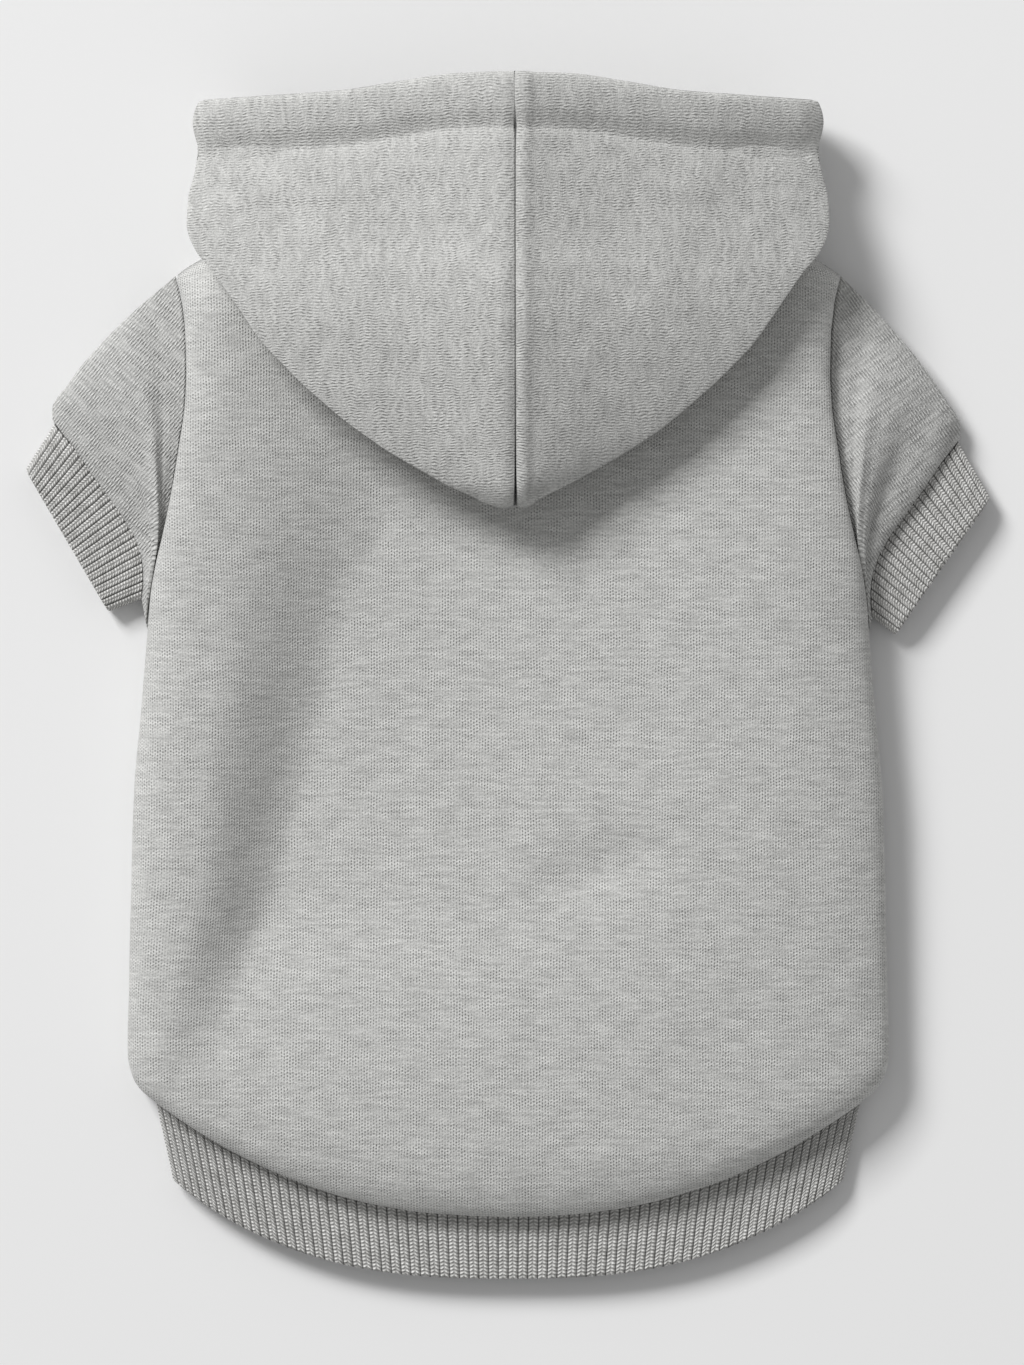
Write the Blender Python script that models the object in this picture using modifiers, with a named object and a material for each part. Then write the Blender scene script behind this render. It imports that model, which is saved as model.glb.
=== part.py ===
"""A knitted dog hoodie that lies flat on its belly, back side up, with its hood laid back over the shoulders.

Metres, +Z up. +Y points to the hood's face opening and +X to the garment's right in plan. The hoodie is
built with the neck seam at y = 0 and the surface that it lies on at z = 0. At the end it is centred on
its own outline, so the origin is the middle of its footprint.

Every piece is an open sheet of cloth, shaped by functions of the sizes below. Solidify gives it a second
side, which then takes the same shape with its half width and height less by the wall.
"""

import math

import bmesh
import bpy
from mathutils import Matrix, Vector

# Cloth.
FLEECE_WALL = 0.0024
RIB_WALL = 0.0026
SEAM_GAP = 0.0006

# Body, lying flat.
BODY_WIDTH = 0.320
BODY_LENGTH = 0.410
BODY_HEIGHT = 0.033
SIDE_SEAM_HEIGHT = 0.0098
SHOULDER_DROP = 0.0147
ARMHOLE_DEPTH = 0.149
ARMHOLE_RISE = 0.0140
SHOULDER_ROUND = 0.025
NECK_WIDTH = 0.180
HEM_BOW = 0.0485
HEM_ROUND = 0.150
HEM_LIP_HEIGHT = 0.0150
HEM_LIP_TUCK = 0.0050
BELLY_CUT = 0.018
PUFF_POWER = 2.6
HEM_POWER = 2.3

# Ribbed band at the hem.
HEM_RIB_SHOW = 0.0264
HEM_RIB_WIDTH = 0.282
HEM_RIB_TAPER = 0.0075
HEM_RIB_BOW = 0.0408
HEM_RIB_POWER = 2.7
HEM_RIB_THICKNESS = 0.0108
HEM_RIB_PITCH = 0.0041
RIB_DEPTH = 0.0009

# Sleeves and their ribbed cuffs.
SLEEVE_LENGTH = 0.083
SLEEVE_HEIGHT = 0.0235
SLEEVE_BULGE = 0.0030
SLEEVE_LIP_TUCK = 0.0045
SLEEVE_TUCK_UNDER = 0.0012
CUFF_SEAM_WIDTH = 0.083
CUFF_SEAM_BOW = 0.0088
CUFF_MOUTH_WIDTH = 0.070
CUFF_HEIGHT = 0.0245
CUFF_THICKNESS = 0.0112
CUFF_RIB_PITCH = 0.0030

# Hood, a pocket of two halves.
HOOD_WIDTH = 0.269
HOOD_FRONT = 0.0688
HOOD_BACK = 0.1134
HOOD_FOLD_HEIGHT = 0.019
HOOD_FOLD_RUN = 0.030
HOOD_PUFF = 0.0365
HOOD_FOLD_RADIUS = 0.0055
HOOD_MOUTH_SETBACK = 0.0090
HOOD_THROAT = 0.030
HOOD_BAND = 0.0235
HOOD_BAND_GROOVE = 0.0010
HOOD_SEAM_SHIFT = 0.0030
HOOD_SEAM_DIP = 0.0022
HOOD_SEAM_VALLEY = 0.0045
HOOD_TIP_BEND = 0.0037
HOOD_CLEARANCE = 0.0016
SHOULDER_REACH = 0.012

# Outline of the body's sides. The first table runs from the shoulder to the underarm and the second from
# there to the hem's corner: the share of the way, and the half width as a share of half BODY_WIDTH. The
# third table draws the corner in to the hem band: the share of the way down the side, and how far in.
ARMHOLE_OUTLINE = (
    (0.00, 0.8725), (0.08, 0.856), (0.17, 0.847), (0.27, 0.844), (0.37, 0.848), (0.46, 0.860),
    (0.55, 0.873), (0.65, 0.890), (0.74, 0.908), (0.83, 0.928), (0.92, 0.941), (1.00, 0.947),
)
SIDE_OUTLINE = (
    (0.00, 0.947), (0.16, 0.963), (0.36, 0.984), (0.57, 0.991), (0.78, 0.997), (0.90, 1.000), (1.00, 1.000),
)
HEM_CORNER_TURN = ((0.00, 0.00), (0.90, 0.00), (0.95, 0.19), (0.98, 0.53), (1.00, 1.00))

# Rows of the back panel around its hem lip: the inset from the hem line as a share of HEM_LIP_TUCK, how far
# the row is under the lip (0 on top), the share of the way down the side, the height there as a share of
# SIDE_SEAM_HEIGHT, and the angle that the cloth's outer side has turned from facing up.
HEM_LIP_ROWS = (
    (2.40, 0.00, 0.950, 0.92, 14.0), (1.00, 0.00, 0.968, 0.85, 30.0), (0.24, 0.00, 0.981, 0.76, 58.0),
    (0.00, 0.00, 0.990, 0.67, 92.0), (0.30, 0.80, 0.996, 0.58, 142.0), (1.00, 1.00, 1.000, 0.50, 172.0),
)

# Soft ridges and dents of the back: centre across as a share of half the width, centre along as a share of
# the length from the neck, direction in degrees from +X, half length and half width as shares of
# BODY_WIDTH, and height as a share of BODY_HEIGHT.
BODY_FOLDS = (
    (-0.72, 0.62, 92.0, 0.30, 0.045, 0.045),
    (-0.47, 0.60, 88.0, 0.32, 0.055, -0.060),
    (0.20, 0.645, 24.0, 0.17, 0.035, -0.050),
    (0.32, 0.56, 28.0, 0.22, 0.050, 0.035),
    (0.58, 0.80, 80.0, 0.18, 0.060, -0.030),
)

# Outline of the hood behind the neck and ahead of it: the share of HOOD_BACK or HOOD_FRONT, and the half
# width as a share of half HOOD_WIDTH.
HOOD_BACK_OUTLINE = (
    (0.000, 0.990), (0.060, 0.963), (0.120, 0.920), (0.240, 0.850), (0.360, 0.780), (0.480, 0.690),
    (0.585, 0.595), (0.680, 0.500), (0.760, 0.405), (0.825, 0.314), (0.884, 0.219), (0.940, 0.125),
    (0.967, 0.090),
)
HOOD_FRONT_OUTLINE = (
    (0.000, 0.990), (0.090, 1.000), (0.250, 0.996), (0.420, 0.975), (0.560, 0.968), (0.700, 0.975),
    (0.840, 0.958), (1.000, 0.925),
)

# Height of the hood's ridge above its side folds, as a share of HOOD_PUFF, ahead of the neck and behind it.
HOOD_FRONT_PUFF = ((0.00, 0.74), (0.22, 0.87), (0.44, 0.98), (0.65, 0.93), (0.85, 0.82), (1.00, 0.72))
HOOD_BACK_PUFF = (
    (0.00, 0.74), (0.12, 0.64), (0.24, 0.52), (0.40, 0.42), (0.56, 0.33), (0.72, 0.25), (0.86, 0.19),
    (1.00, 0.13),
)

# Face opening's upper edge: the share of half HOOD_WIDTH, and the setback as a share of
# HOOD_MOUTH_SETBACK.
HOOD_MOUTH_EDGE = ((0.00, 0.00), (0.18, 0.05), (0.37, 0.40), (0.56, 0.80), (0.75, 0.96), (1.00, 1.15))

# The two sleeves: side, the top edge as a share of SLEEVE_LENGTH, the angles of the top edge and of the
# cuff seam below the horizontal, the cuff's two side lengths as shares of CUFF_HEIGHT, and how far the
# mouth starts along the seam as a share of CUFF_SEAM_WIDTH.
SLEEVES = (
    ("left", -1, 0.967, 50.3, 63.7, 0.80, 0.60, 0.143),
    ("right", 1, 1.027, 54.4, 64.1, 0.93, 0.48, 0.187),
)

# Rows of a sleeve's end around its lip: the inset from the cuff seam on the upper side and on the
# underside, as shares of SLEEVE_LIP_TUCK, the height as a share of the way from the cuff's top to the
# sleeve's, and the angle that the cloth's outer side has turned from facing up.
SLEEVE_LIP_ROWS = (
    (3.0, 3.0, 0.86, 12.0), (0.9, 2.1, 0.64, 36.0), (0.0, 1.3, 0.36, 80.0), (0.2, 0.6, 0.15, 108.0),
    (0.8, 0.0, 0.00, 132.0),
)

# Grid lines, as shares. Across a half of the back and of the belly, down the armhole and down the side.
BACK_COLUMNS = (0.0, 0.11, 0.23, 0.36, 0.49, 0.62, 0.74, 0.84, 0.915, 0.965, 0.991, 1.0)
BELLY_COLUMNS = (0.0, 0.25, 0.50, 0.70, 0.84, 0.93, 0.98, 1.0)
BACK_ARMHOLE_ROWS = (0.0, 0.014, 0.045, 0.095, 0.165, 0.25, 0.35, 0.46, 0.57, 0.68, 0.79, 0.90, 1.0)
BELLY_ARMHOLE_ROWS = (0.0, 0.03, 0.10, 0.19, 0.28, 0.38, 0.49, 0.61, 0.73, 0.84, 0.94, 1.0)
BACK_SIDE_ROWS = (0.15, 0.31, 0.47, 0.62, 0.76, 0.88)
BELLY_SIDE_ROWS = (0.22, 0.50, 0.75, 0.90, 0.97, 1.0)

# Across a half of the hood, from the centre seam to the side fold. The neck's edge has its own line.
HOOD_INNER_COLUMNS = (0.0, 0.034, 0.16, 0.34, 0.51)
HOOD_OUTER_COLUMNS = (0.45, 0.78, 1.0)
HOOD_BAND_ROWS = (0.0, 0.90, 1.0, 1.10)
HOOD_FRONT_ROWS = (0.35, 0.70, 1.0)
HOOD_BACK_ROWS = (0.0, 0.14, 0.29, 0.44, 0.58, 0.71, 0.81, 0.88, 0.94, 0.982, 1.0)
HOOD_END_ROUNDING = ((0.86, 1.0), (0.94, 0.86), (0.982, 0.55), (1.0, 0.0))

SLEEVE_LOOP = 24
SLEEVE_ROWS = (0.0, 0.30, 0.62)

GREY_FLEECE = (0.43, 0.43, 0.42)
GREY_RIB = (0.36, 0.355, 0.345)


def mix(low, high, share):
    return low + (high - low) * share


def smooth_step(start, end, value):
    share = min(max((value - start) / (end - start), 0.0), 1.0)
    return share * share * (3.0 - 2.0 * share)


def read_table(table, key, column=1):
    """Value of a column at key, along a smooth curve that doesn't overshoot its rows."""
    keys = [row[0] for row in table]
    values = [row[column] for row in table]
    key = min(max(key, keys[0]), keys[-1])
    last = len(keys) - 1
    slopes = [(values[n + 1] - values[n]) / (keys[n + 1] - keys[n]) for n in range(last)]
    place = 0
    while place < last - 1 and key > keys[place + 1]:
        place += 1

    def tangent(row):
        if row == 0:
            return slopes[0]
        if row == last:
            return slopes[-1]
        before, after = slopes[row - 1], slopes[row]
        if before * after <= 0.0:
            return 0.0
        return 2.0 * before * after / (before + after)

    span = keys[place + 1] - keys[place]
    share = (key - keys[place]) / span
    square, cube = share ** 2, share ** 3
    return (
        values[place] * (2 * cube - 3 * square + 1)
        + tangent(place) * span * (cube - 2 * square + share)
        + values[place + 1] * (3 * square - 2 * cube)
        + tangent(place + 1) * span * (cube - square)
    )


def puff(share, power=PUFF_POWER, root=PUFF_POWER):
    """Rounded cross-section: 1 in the middle, falling steeply to 0 where share is 1."""
    return max(1.0 - min(abs(share), 1.0) ** power, 0.0) ** (1.0 / root)


def arc_spaced(curve, pieces, samples=400):
    """Parameters 0 to 1 that cut curve into stretches of equal length."""
    points = [Vector(curve(n / samples)) for n in range(samples + 1)]
    lengths = [0.0]
    for before, after in zip(points, points[1:]):
        lengths.append(lengths[-1] + (after - before).length)
    cuts = []
    place = 0
    for piece in range(pieces + 1):
        wanted = lengths[-1] * piece / pieces
        while place < samples - 1 and lengths[place + 1] < wanted:
            place += 1
        step = lengths[place + 1] - lengths[place]
        cuts.append((place + (wanted - lengths[place]) / step) / samples)
    return cuts


# Body.

HALF_WIDTH = BODY_WIDTH / 2.0
HEM_CORNER = HEM_RIB_WIDTH / 2.0 + HEM_RIB_TAPER
NECK_HALF = NECK_WIDTH / 2.0
SIDE_LENGTH = BODY_LENGTH - HEM_BOW - SHOULDER_DROP
ARMHOLE_SHARE = ARMHOLE_DEPTH / SIDE_LENGTH


def side_share(v):
    """Share of the way from the underarm to the hem's corner; below 0 it is along the armhole."""
    return (v - ARMHOLE_SHARE) / (1.0 - ARMHOLE_SHARE)


def armhole_opening(v):
    """How far the armhole is open at this height of the side: 0 at its ends and 1 in the middle."""
    q = v / ARMHOLE_SHARE
    return math.sqrt(4.0 * q * (1.0 - q)) if 0.0 < q < 1.0 else 0.0


def edge_half_width(v):
    if v < ARMHOLE_SHARE:
        return HALF_WIDTH * read_table(ARMHOLE_OUTLINE, v / ARMHOLE_SHARE)
    full = HALF_WIDTH * read_table(SIDE_OUTLINE, side_share(v))
    return mix(full, HEM_CORNER, read_table(HEM_CORNER_TURN, side_share(v)))


def edge_y(v):
    return -SHOULDER_DROP - SIDE_LENGTH * v


def seam_height(v):
    return SIDE_SEAM_HEIGHT * read_table(((0.0, 1.0), (0.88, 1.0), (0.95, 0.92), (1.0, 0.5)), side_share(v))


def back_edge_height(v):
    return seam_height(v) + SEAM_GAP / 2.0 + ARMHOLE_RISE * armhole_opening(v)


def belly_edge_height(v):
    return (seam_height(v) - SEAM_GAP / 2.0) * (1.0 - armhole_opening(v))


def neck_arch(x):
    """1 in the middle of the neck's opening and 0 at its ends and on the shoulders."""
    return math.sqrt(max(1.0 - (abs(x) / NECK_HALF) ** 4, 0.0))


def front_rounding(x, depth):
    """Rise of the cloth behind the neck and shoulder line, depth being the distance behind it."""
    left = 1.0 - min(max(depth / SHOULDER_ROUND, 0.0), 1.0)
    return math.sqrt(max(1.0 - left ** 2 * (1.0 - neck_arch(x) ** 2), 0.0))


def hem_rounding(inset):
    return puff(1.0 - min(inset / HEM_ROUND, 1.0))


def fold_height(x, y):
    """Soft ridges and dents of the back at a point."""
    height = 0.0
    for across, along, angle, half_length, half_width, rise in BODY_FOLDS:
        dx = x - across * HALF_WIDTH
        dy = y + along * BODY_LENGTH
        turn = math.radians(angle)
        reach = (dx * math.cos(turn) + dy * math.sin(turn)) / (half_length * BODY_WIDTH)
        aside = (dy * math.cos(turn) - dx * math.sin(turn)) / (half_width * BODY_WIDTH)
        height += rise * BODY_HEIGHT * math.exp(-reach ** 2 - aside ** 2)
    return height


def bowed_y(u, v, centre_y, y_at_edge):
    """Y of a row that is centre_y in the middle and y_at_edge at the side."""
    shoulder = -SHOULDER_DROP * (1.0 - v)
    bow = y_at_edge - centre_y - shoulder
    return centre_y + shoulder * abs(u) ** 8 + bow * abs(u) ** HEM_POWER


def back_surface(u, v, inside=0.0):
    """Point of the back panel above the hem lip, on its outer side or inside by a wall."""
    centre_y = -BODY_LENGTH * v
    x = u * edge_half_width(v)
    y = bowed_y(u, v, centre_y, edge_y(v))
    depth = -SHOULDER_DROP * abs(u) ** 8 - y
    crown = mix(HEM_LIP_HEIGHT, BODY_HEIGHT, hem_rounding(BODY_LENGTH + centre_y)) - inside
    edge = back_edge_height(v)
    rounding = front_rounding(x, depth)
    height = edge + (crown - edge) * puff(u) * rounding
    height += fold_height(x, y) * puff(u) ** 2 * rounding ** 4
    y -= inside * shoulder_closeness(depth) * (1.0 - neck_arch(x))
    return x - u * inside, y, height


def shoulder_closeness(depth):
    """1 on the shoulder line, falling to 0 where the body has its full height."""
    return 1.0 - min(max(depth / SHOULDER_ROUND, 0.0), 1.0)


def hem_lip_point(u, row, inside=0.0):
    inset, under, down, height_share, turn = HEM_LIP_ROWS[row]
    inset *= HEM_LIP_TUCK
    v = mix(ARMHOLE_SHARE, 1.0, down)
    centre_y = inset - BODY_LENGTH
    x = u * (edge_half_width(v) - inside)
    y = bowed_y(u, 1.0, centre_y, edge_y(v))
    y += inside * math.sin(math.radians(turn)) * puff(u)
    if under > 0.0:
        crown = HEM_LIP_HEIGHT * mix(1.0, 0.72, under)
    else:
        crown = mix(HEM_LIP_HEIGHT, BODY_HEIGHT, hem_rounding(inset))
    crown -= inside * math.cos(math.radians(turn))
    edge = SIDE_SEAM_HEIGHT * height_share + SEAM_GAP / 2.0
    return x, y, edge + (crown - edge) * puff(u)


def body_height(x, y):
    """Height of the back panel's outer side over a point, or 0 ahead of its front edge."""
    v = min(max(-y / BODY_LENGTH, 0.0), 1.0)
    u = 0.0
    for _ in range(12):
        u = min(max(x / edge_half_width(v), -1.0), 1.0)
        miss = bowed_y(u, v, -BODY_LENGTH * v, edge_y(v)) - y
        v = min(max(v + miss / BODY_LENGTH, 0.0), 1.0)
    if y > -SHOULDER_DROP * abs(u) ** 8:
        return 0.0
    return back_surface(u, v)[2]


def belly_point(u, v, inside=0.0):
    opening = armhole_opening(v)
    centre_y = -(BODY_LENGTH - HEM_LIP_TUCK - BELLY_CUT) * v
    x = u * edge_half_width(v)
    y = bowed_y(u, v, centre_y, edge_y(v))
    depth = -SHOULDER_DROP * abs(u) ** 8 - y
    edge = belly_edge_height(v) + inside * opening
    side = mix(edge, inside, puff(u, 12.0))
    closeness = shoulder_closeness(depth)
    front = (1.0 - neck_arch(x)) * (1.0 - math.sqrt(1.0 - closeness ** 2))
    y -= inside * closeness * (1.0 - neck_arch(x))
    full = seam_height(v) - SEAM_GAP / 2.0
    return x - u * inside * (1.0 - opening), y, mix(side, full, front)


def both_sides(columns):
    return [-share for share in reversed(columns[1:])] + list(columns)


def make_back_panel():
    columns = both_sides(BACK_COLUMNS)
    rows = [share * ARMHOLE_SHARE for share in BACK_ARMHOLE_ROWS]
    rows += [mix(ARMHOLE_SHARE, 1.0, share) for share in BACK_SIDE_ROWS]

    def place(column, row, inside):
        if row < len(rows):
            return back_surface(columns[column], rows[row], inside)
        return hem_lip_point(columns[column], row - len(rows), inside)

    count = len(rows) + len(HEM_LIP_ROWS) - 1
    return cloth_sheet("back_panel", GREY_FLEECE, len(columns) - 1, count, place, FLEECE_WALL)


def make_belly_panel():
    columns = both_sides(BELLY_COLUMNS)
    rows = [share * ARMHOLE_SHARE for share in BELLY_ARMHOLE_ROWS]
    rows += [mix(ARMHOLE_SHARE, 1.0, share) for share in BELLY_SIDE_ROWS]

    def place(column, row, inside):
        return belly_point(columns[column], rows[row], inside)

    sizes = len(columns) - 1, len(rows) - 1
    return cloth_sheet("belly_panel", GREY_FLEECE, *sizes, place, FLEECE_WALL, flip=True)


# Ribbed band at the hem.


def hem_band_base(u, upper, inside):
    """Edge of the band at the body: under the lip above, and edge to edge with the belly below."""
    share = puff(u, 14.0, 2.0)
    if upper:
        x, y, z = hem_lip_point(u, len(HEM_LIP_ROWS) - 1)
        return x - u * inside, y - SEAM_GAP, z - SEAM_GAP - inside * share ** 2
    x, y, z = belly_point(u, 1.0)
    return x - u * inside, y - SEAM_GAP, z + inside * share


def hem_band_edge(u, upper, inside):
    fold = HEM_RIB_THICKNESS / 2.0
    cut = 0.0 if upper else BELLY_CUT
    x = u * (HEM_RIB_WIDTH / 2.0 - inside)
    y = -(BODY_LENGTH + HEM_RIB_SHOW - cut) + (HEM_RIB_BOW - cut) * abs(u) ** HEM_RIB_POWER
    rise = (fold - inside) * puff(u, 14.0, 2.0)
    return x, y, fold + (rise if upper else -rise)


def make_hem_rib():
    def middle(share):
        return hem_band_edge(2.0 * share - 1.0, True, 0.0)

    length = sum(
        (Vector(middle(n / 200)) - Vector(middle((n - 1) / 200))).length for n in range(1, 201)
    )
    ribs = round(length / HEM_RIB_PITCH)
    across = [2.0 * share - 1.0 for share in arc_spaced(middle, 2 * ribs)]
    loop = [(u, True) for u in across] + [(u, False) for u in reversed(across[1:-1])]

    def place(column, row, inside):
        u, upper = loop[column % len(loop)]
        point = hem_band_base(u, upper, inside) if row == 0 else hem_band_edge(u, upper, inside)
        if column % 2 == 1 or inside > 0.0:
            return point
        return sunk(point, u, upper, HEM_RIB_WIDTH / 2.0)

    return cloth_sheet("hem_rib", GREY_RIB, len(loop), 1, place, RIB_WALL, wrap=True)


def sunk(point, u, upper, half_width):
    """A point of a groove between two ribs, moved into the band by RIB_DEPTH, less at the corners."""
    x, y, z = point
    aside = smooth_step(1.0 - 3.0 * RIB_WALL / half_width, 1.0, abs(u))
    depth = RIB_DEPTH * (1.0 - 0.7 * smooth_step(0.84, 0.94, abs(u)))
    x -= math.copysign(depth * aside, u)
    z += depth * (1.0 - aside) * (-1.0 if upper else 1.0)
    return x, y, z


# Sleeves and cuffs.


def armhole_point(side, q):
    """Plan point just outside the body's edge, q running from the shoulder to the underarm."""
    v = q * ARMHOLE_SHARE
    step = 0.002
    before, after = max(v - step, 0.0), min(v + step, ARMHOLE_SHARE)
    slope = (edge_half_width(after) - edge_half_width(before)) / (edge_y(after) - edge_y(before))
    across = SEAM_GAP / math.hypot(1.0, slope)
    return Vector((side * (edge_half_width(v) + across), edge_y(v) - across * slope))


def sleeve_frame(row):
    """Cuff seam's upper end, the direction along the seam, and the direction out of the cuff."""
    side, length, top_angle, seam_angle = row[1:5]
    top, seam = math.radians(top_angle), math.radians(seam_angle)
    reach = length * SLEEVE_LENGTH
    corner = armhole_point(side, 0.0) + reach * Vector((side * math.cos(top), -math.sin(top)))
    along = Vector((-side * math.cos(seam), -math.sin(seam)))
    out = Vector((side * math.sin(seam), -math.cos(seam)))
    return corner, along, out


def loop_place(turn):
    """Share across the flattened tube, and whether the place is on the upper side."""
    return (1.0 - math.cos(2.0 * math.pi * turn)) / 2.0, turn <= 0.5


def narrowed(share, inside, width):
    """Share across a tube that is narrower by a wall at both folds."""
    return mix(inside / width, 1.0 - inside / width, share)


def tube_height(q, upper, fold, top, power, inside):
    """Height around a flattened tube that lies on the surface."""
    share = puff(2.0 * q - 1.0, power, 2.0)
    return mix(fold, top - inside, share) if upper else mix(fold, inside, share)


def lip_share(q, upper):
    """How much of the lip there is: none at the folds and on the underside."""
    return 4.0 * q * (1.0 - q) if upper else 0.0


def cuff_seam_point(row, q, inset):
    """Point of the seam between sleeve and cuff, moved back towards the armhole by an inset."""
    corner, along, out = sleeve_frame(row)
    bow = CUFF_SEAM_BOW * 6.75 * q ** 2 * (1.0 - q)
    seam = corner + along * CUFF_SEAM_WIDTH * q - out * bow
    back = armhole_point(row[1], q) - seam
    room = back.length / (back.length + 3.0 * SLEEVE_LIP_TUCK)
    return seam + back.normalized() * inset * room


def sleeve_point(row, turn, line, inside):
    q, upper = loop_place(turn)
    place = narrowed(q, inside, CUFF_SEAM_WIDTH)
    lip = line - len(SLEEVE_ROWS)
    if lip >= 0:
        over, beneath, rise, angle = SLEEVE_LIP_ROWS[lip]
        share = lip_share(q, upper)
        turned = math.radians(angle * share)
        inset = mix(beneath, over, share) * SLEEVE_LIP_TUCK + inside * math.sin(turned)
        plan = cuff_seam_point(row, place, inset)
        top = mix(CUFF_THICKNESS + SEAM_GAP, SLEEVE_HEIGHT, rise)
        fold = mix(CUFF_THICKNESS / 2.0, SIDE_SEAM_HEIGHT, rise)
        return plan.x, plan.y, tube_height(q, upper, fold, top, 4.0, inside * math.cos(turned))
    share = SLEEVE_ROWS[line]
    start = armhole_point(row[1], narrowed(q, inside, ARMHOLE_DEPTH))
    end = cuff_seam_point(row, place, SLEEVE_LIP_ROWS[0][1] * SLEEVE_LIP_TUCK)
    plan = start.lerp(end, share)
    plan += Vector((0.5 * row[1], 0.85)) * SLEEVE_BULGE * 4.0 * share * (1.0 - share) * (1.0 - q) ** 2
    opening = math.sqrt(4.0 * q * (1.0 - q))
    if upper:
        armhole_z = SIDE_SEAM_HEIGHT + (ARMHOLE_RISE - SLEEVE_TUCK_UNDER - inside) * opening
    else:
        armhole_z = mix(SIDE_SEAM_HEIGHT - SEAM_GAP / 2.0, inside, opening)
    sleeve_z = tube_height(q, upper, SIDE_SEAM_HEIGHT, SLEEVE_HEIGHT, 2.6, inside)
    return plan.x, plan.y, mix(armhole_z, sleeve_z, smooth_step(0.0, 0.5, share))


def make_sleeve(row):
    def place(column, line, inside):
        return sleeve_point(row, (column % SLEEVE_LOOP) / SLEEVE_LOOP, line, inside)

    lines = len(SLEEVE_ROWS) + len(SLEEVE_LIP_ROWS) - 1
    name = "sleeve_" + row[0]
    sizes = SLEEVE_LOOP, lines
    return cloth_sheet(name, GREY_FLEECE, *sizes, place, FLEECE_WALL, wrap=True, flip=row[1] > 0)


def cuff_point(row, q, upper, at_mouth, inside):
    fold = CUFF_THICKNESS / 2.0
    if not at_mouth:
        place = narrowed(q, inside, CUFF_SEAM_WIDTH)
        plan = cuff_seam_point(row, place, lip_share(q, upper) * SLEEVE_LIP_TUCK)
        plan += sleeve_frame(row)[2] * SEAM_GAP
        return plan.x, plan.y, tube_height(q, upper, fold, CUFF_THICKNESS, 4.0, inside)
    corner, along, out = sleeve_frame(row)
    top_height, bottom_height, start = row[5:8]
    place = narrowed(q, inside, CUFF_MOUTH_WIDTH)
    reach = CUFF_HEIGHT * mix(top_height, bottom_height, place)
    plan = corner + along * (CUFF_SEAM_WIDTH * start + CUFF_MOUTH_WIDTH * place) + out * reach
    return plan.x, plan.y, tube_height(q, upper, fold, CUFF_THICKNESS, 8.0, inside)


def make_cuff(row):
    ribs = round(CUFF_MOUTH_WIDTH / CUFF_RIB_PITCH)
    across = [share / (2 * ribs) for share in range(2 * ribs + 1)]
    loop = [(q, True) for q in across] + [(q, False) for q in reversed(across[1:-1])]
    along = sleeve_frame(row)[1]

    def place(column, line, inside):
        q, upper = loop[column % len(loop)]
        x, y, z = cuff_point(row, q, upper, line == 1, inside)
        if column % 2 == 1 or inside > 0.0:
            return x, y, z
        aside = smooth_step(1.0 - 4.0 * RIB_WALL / CUFF_MOUTH_WIDTH, 1.0, abs(2.0 * q - 1.0))
        inward = RIB_DEPTH * aside * (1.0 if q < 0.5 else -1.0)
        z += RIB_DEPTH * (1.0 - aside) * (-1.0 if upper else 1.0)
        return x + along.x * inward, y + along.y * inward, z

    name = "cuff_" + row[0]
    return cloth_sheet(name, GREY_RIB, len(loop), 1, place, RIB_WALL, wrap=True, flip=row[1] > 0)


# Hood.

HOOD_HALF = HOOD_WIDTH / 2.0


def hood_half_width(y):
    if y < 0.0:
        return HOOD_HALF * read_table(HOOD_BACK_OUTLINE, -y / HOOD_BACK)
    return HOOD_HALF * read_table(HOOD_FRONT_OUTLINE, y / HOOD_FRONT)


def hood_ridge_rise(y):
    if y < 0.0:
        return HOOD_PUFF * read_table(HOOD_BACK_PUFF, -y / HOOD_BACK)
    return HOOD_PUFF * read_table(HOOD_FRONT_PUFF, y / HOOD_FRONT)


def neck_line(x):
    """Y of the body's front edge: straight at the neck, falling along the shoulders."""
    return -SHOULDER_DROP * min(abs(x) / edge_half_width(0.0), 1.0) ** 8


def hood_support(x, y):
    """Height that the hood's underside lies on behind the neck line."""
    return body_height(x, min(y, neck_line(x) - SHOULDER_REACH)) + HOOD_CLEARANCE


def hood_fold_height(y):
    """Height of the side folds, which come down ahead of the shoulders."""
    half = hood_half_width(y)
    line = neck_line(half)
    over_body = hood_support(half, min(y, line)) + HOOD_FOLD_RADIUS
    return mix(over_body, HOOD_FOLD_HEIGHT, smooth_step(0.0, HOOD_FOLD_RUN, y - line))


def hood_columns():
    """Shares from the centre seam to the side fold, with one line at the neck opening's end."""
    neck = NECK_HALF / hood_half_width(0.0)
    inner = [share for share in HOOD_INNER_COLUMNS if share < neck]
    return inner + [neck] + [mix(neck, 1.0, share) for share in HOOD_OUTER_COLUMNS]


def mouth_y(r, upper):
    edge = HOOD_FRONT - HOOD_MOUTH_SETBACK * read_table(HOOD_MOUTH_EDGE, r)
    if upper:
        return edge
    return mix(HOOD_THROAT, edge, smooth_step(0.0, 1.0, r ** 1.5))


def hood_rows():
    """Rows from the face opening to the tip: kind and share."""
    rows = [("band", share) for share in HOOD_BAND_ROWS]
    rows += [("front", share) for share in HOOD_FRONT_ROWS]
    return rows + [("back", share) for share in HOOD_BACK_ROWS]


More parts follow.
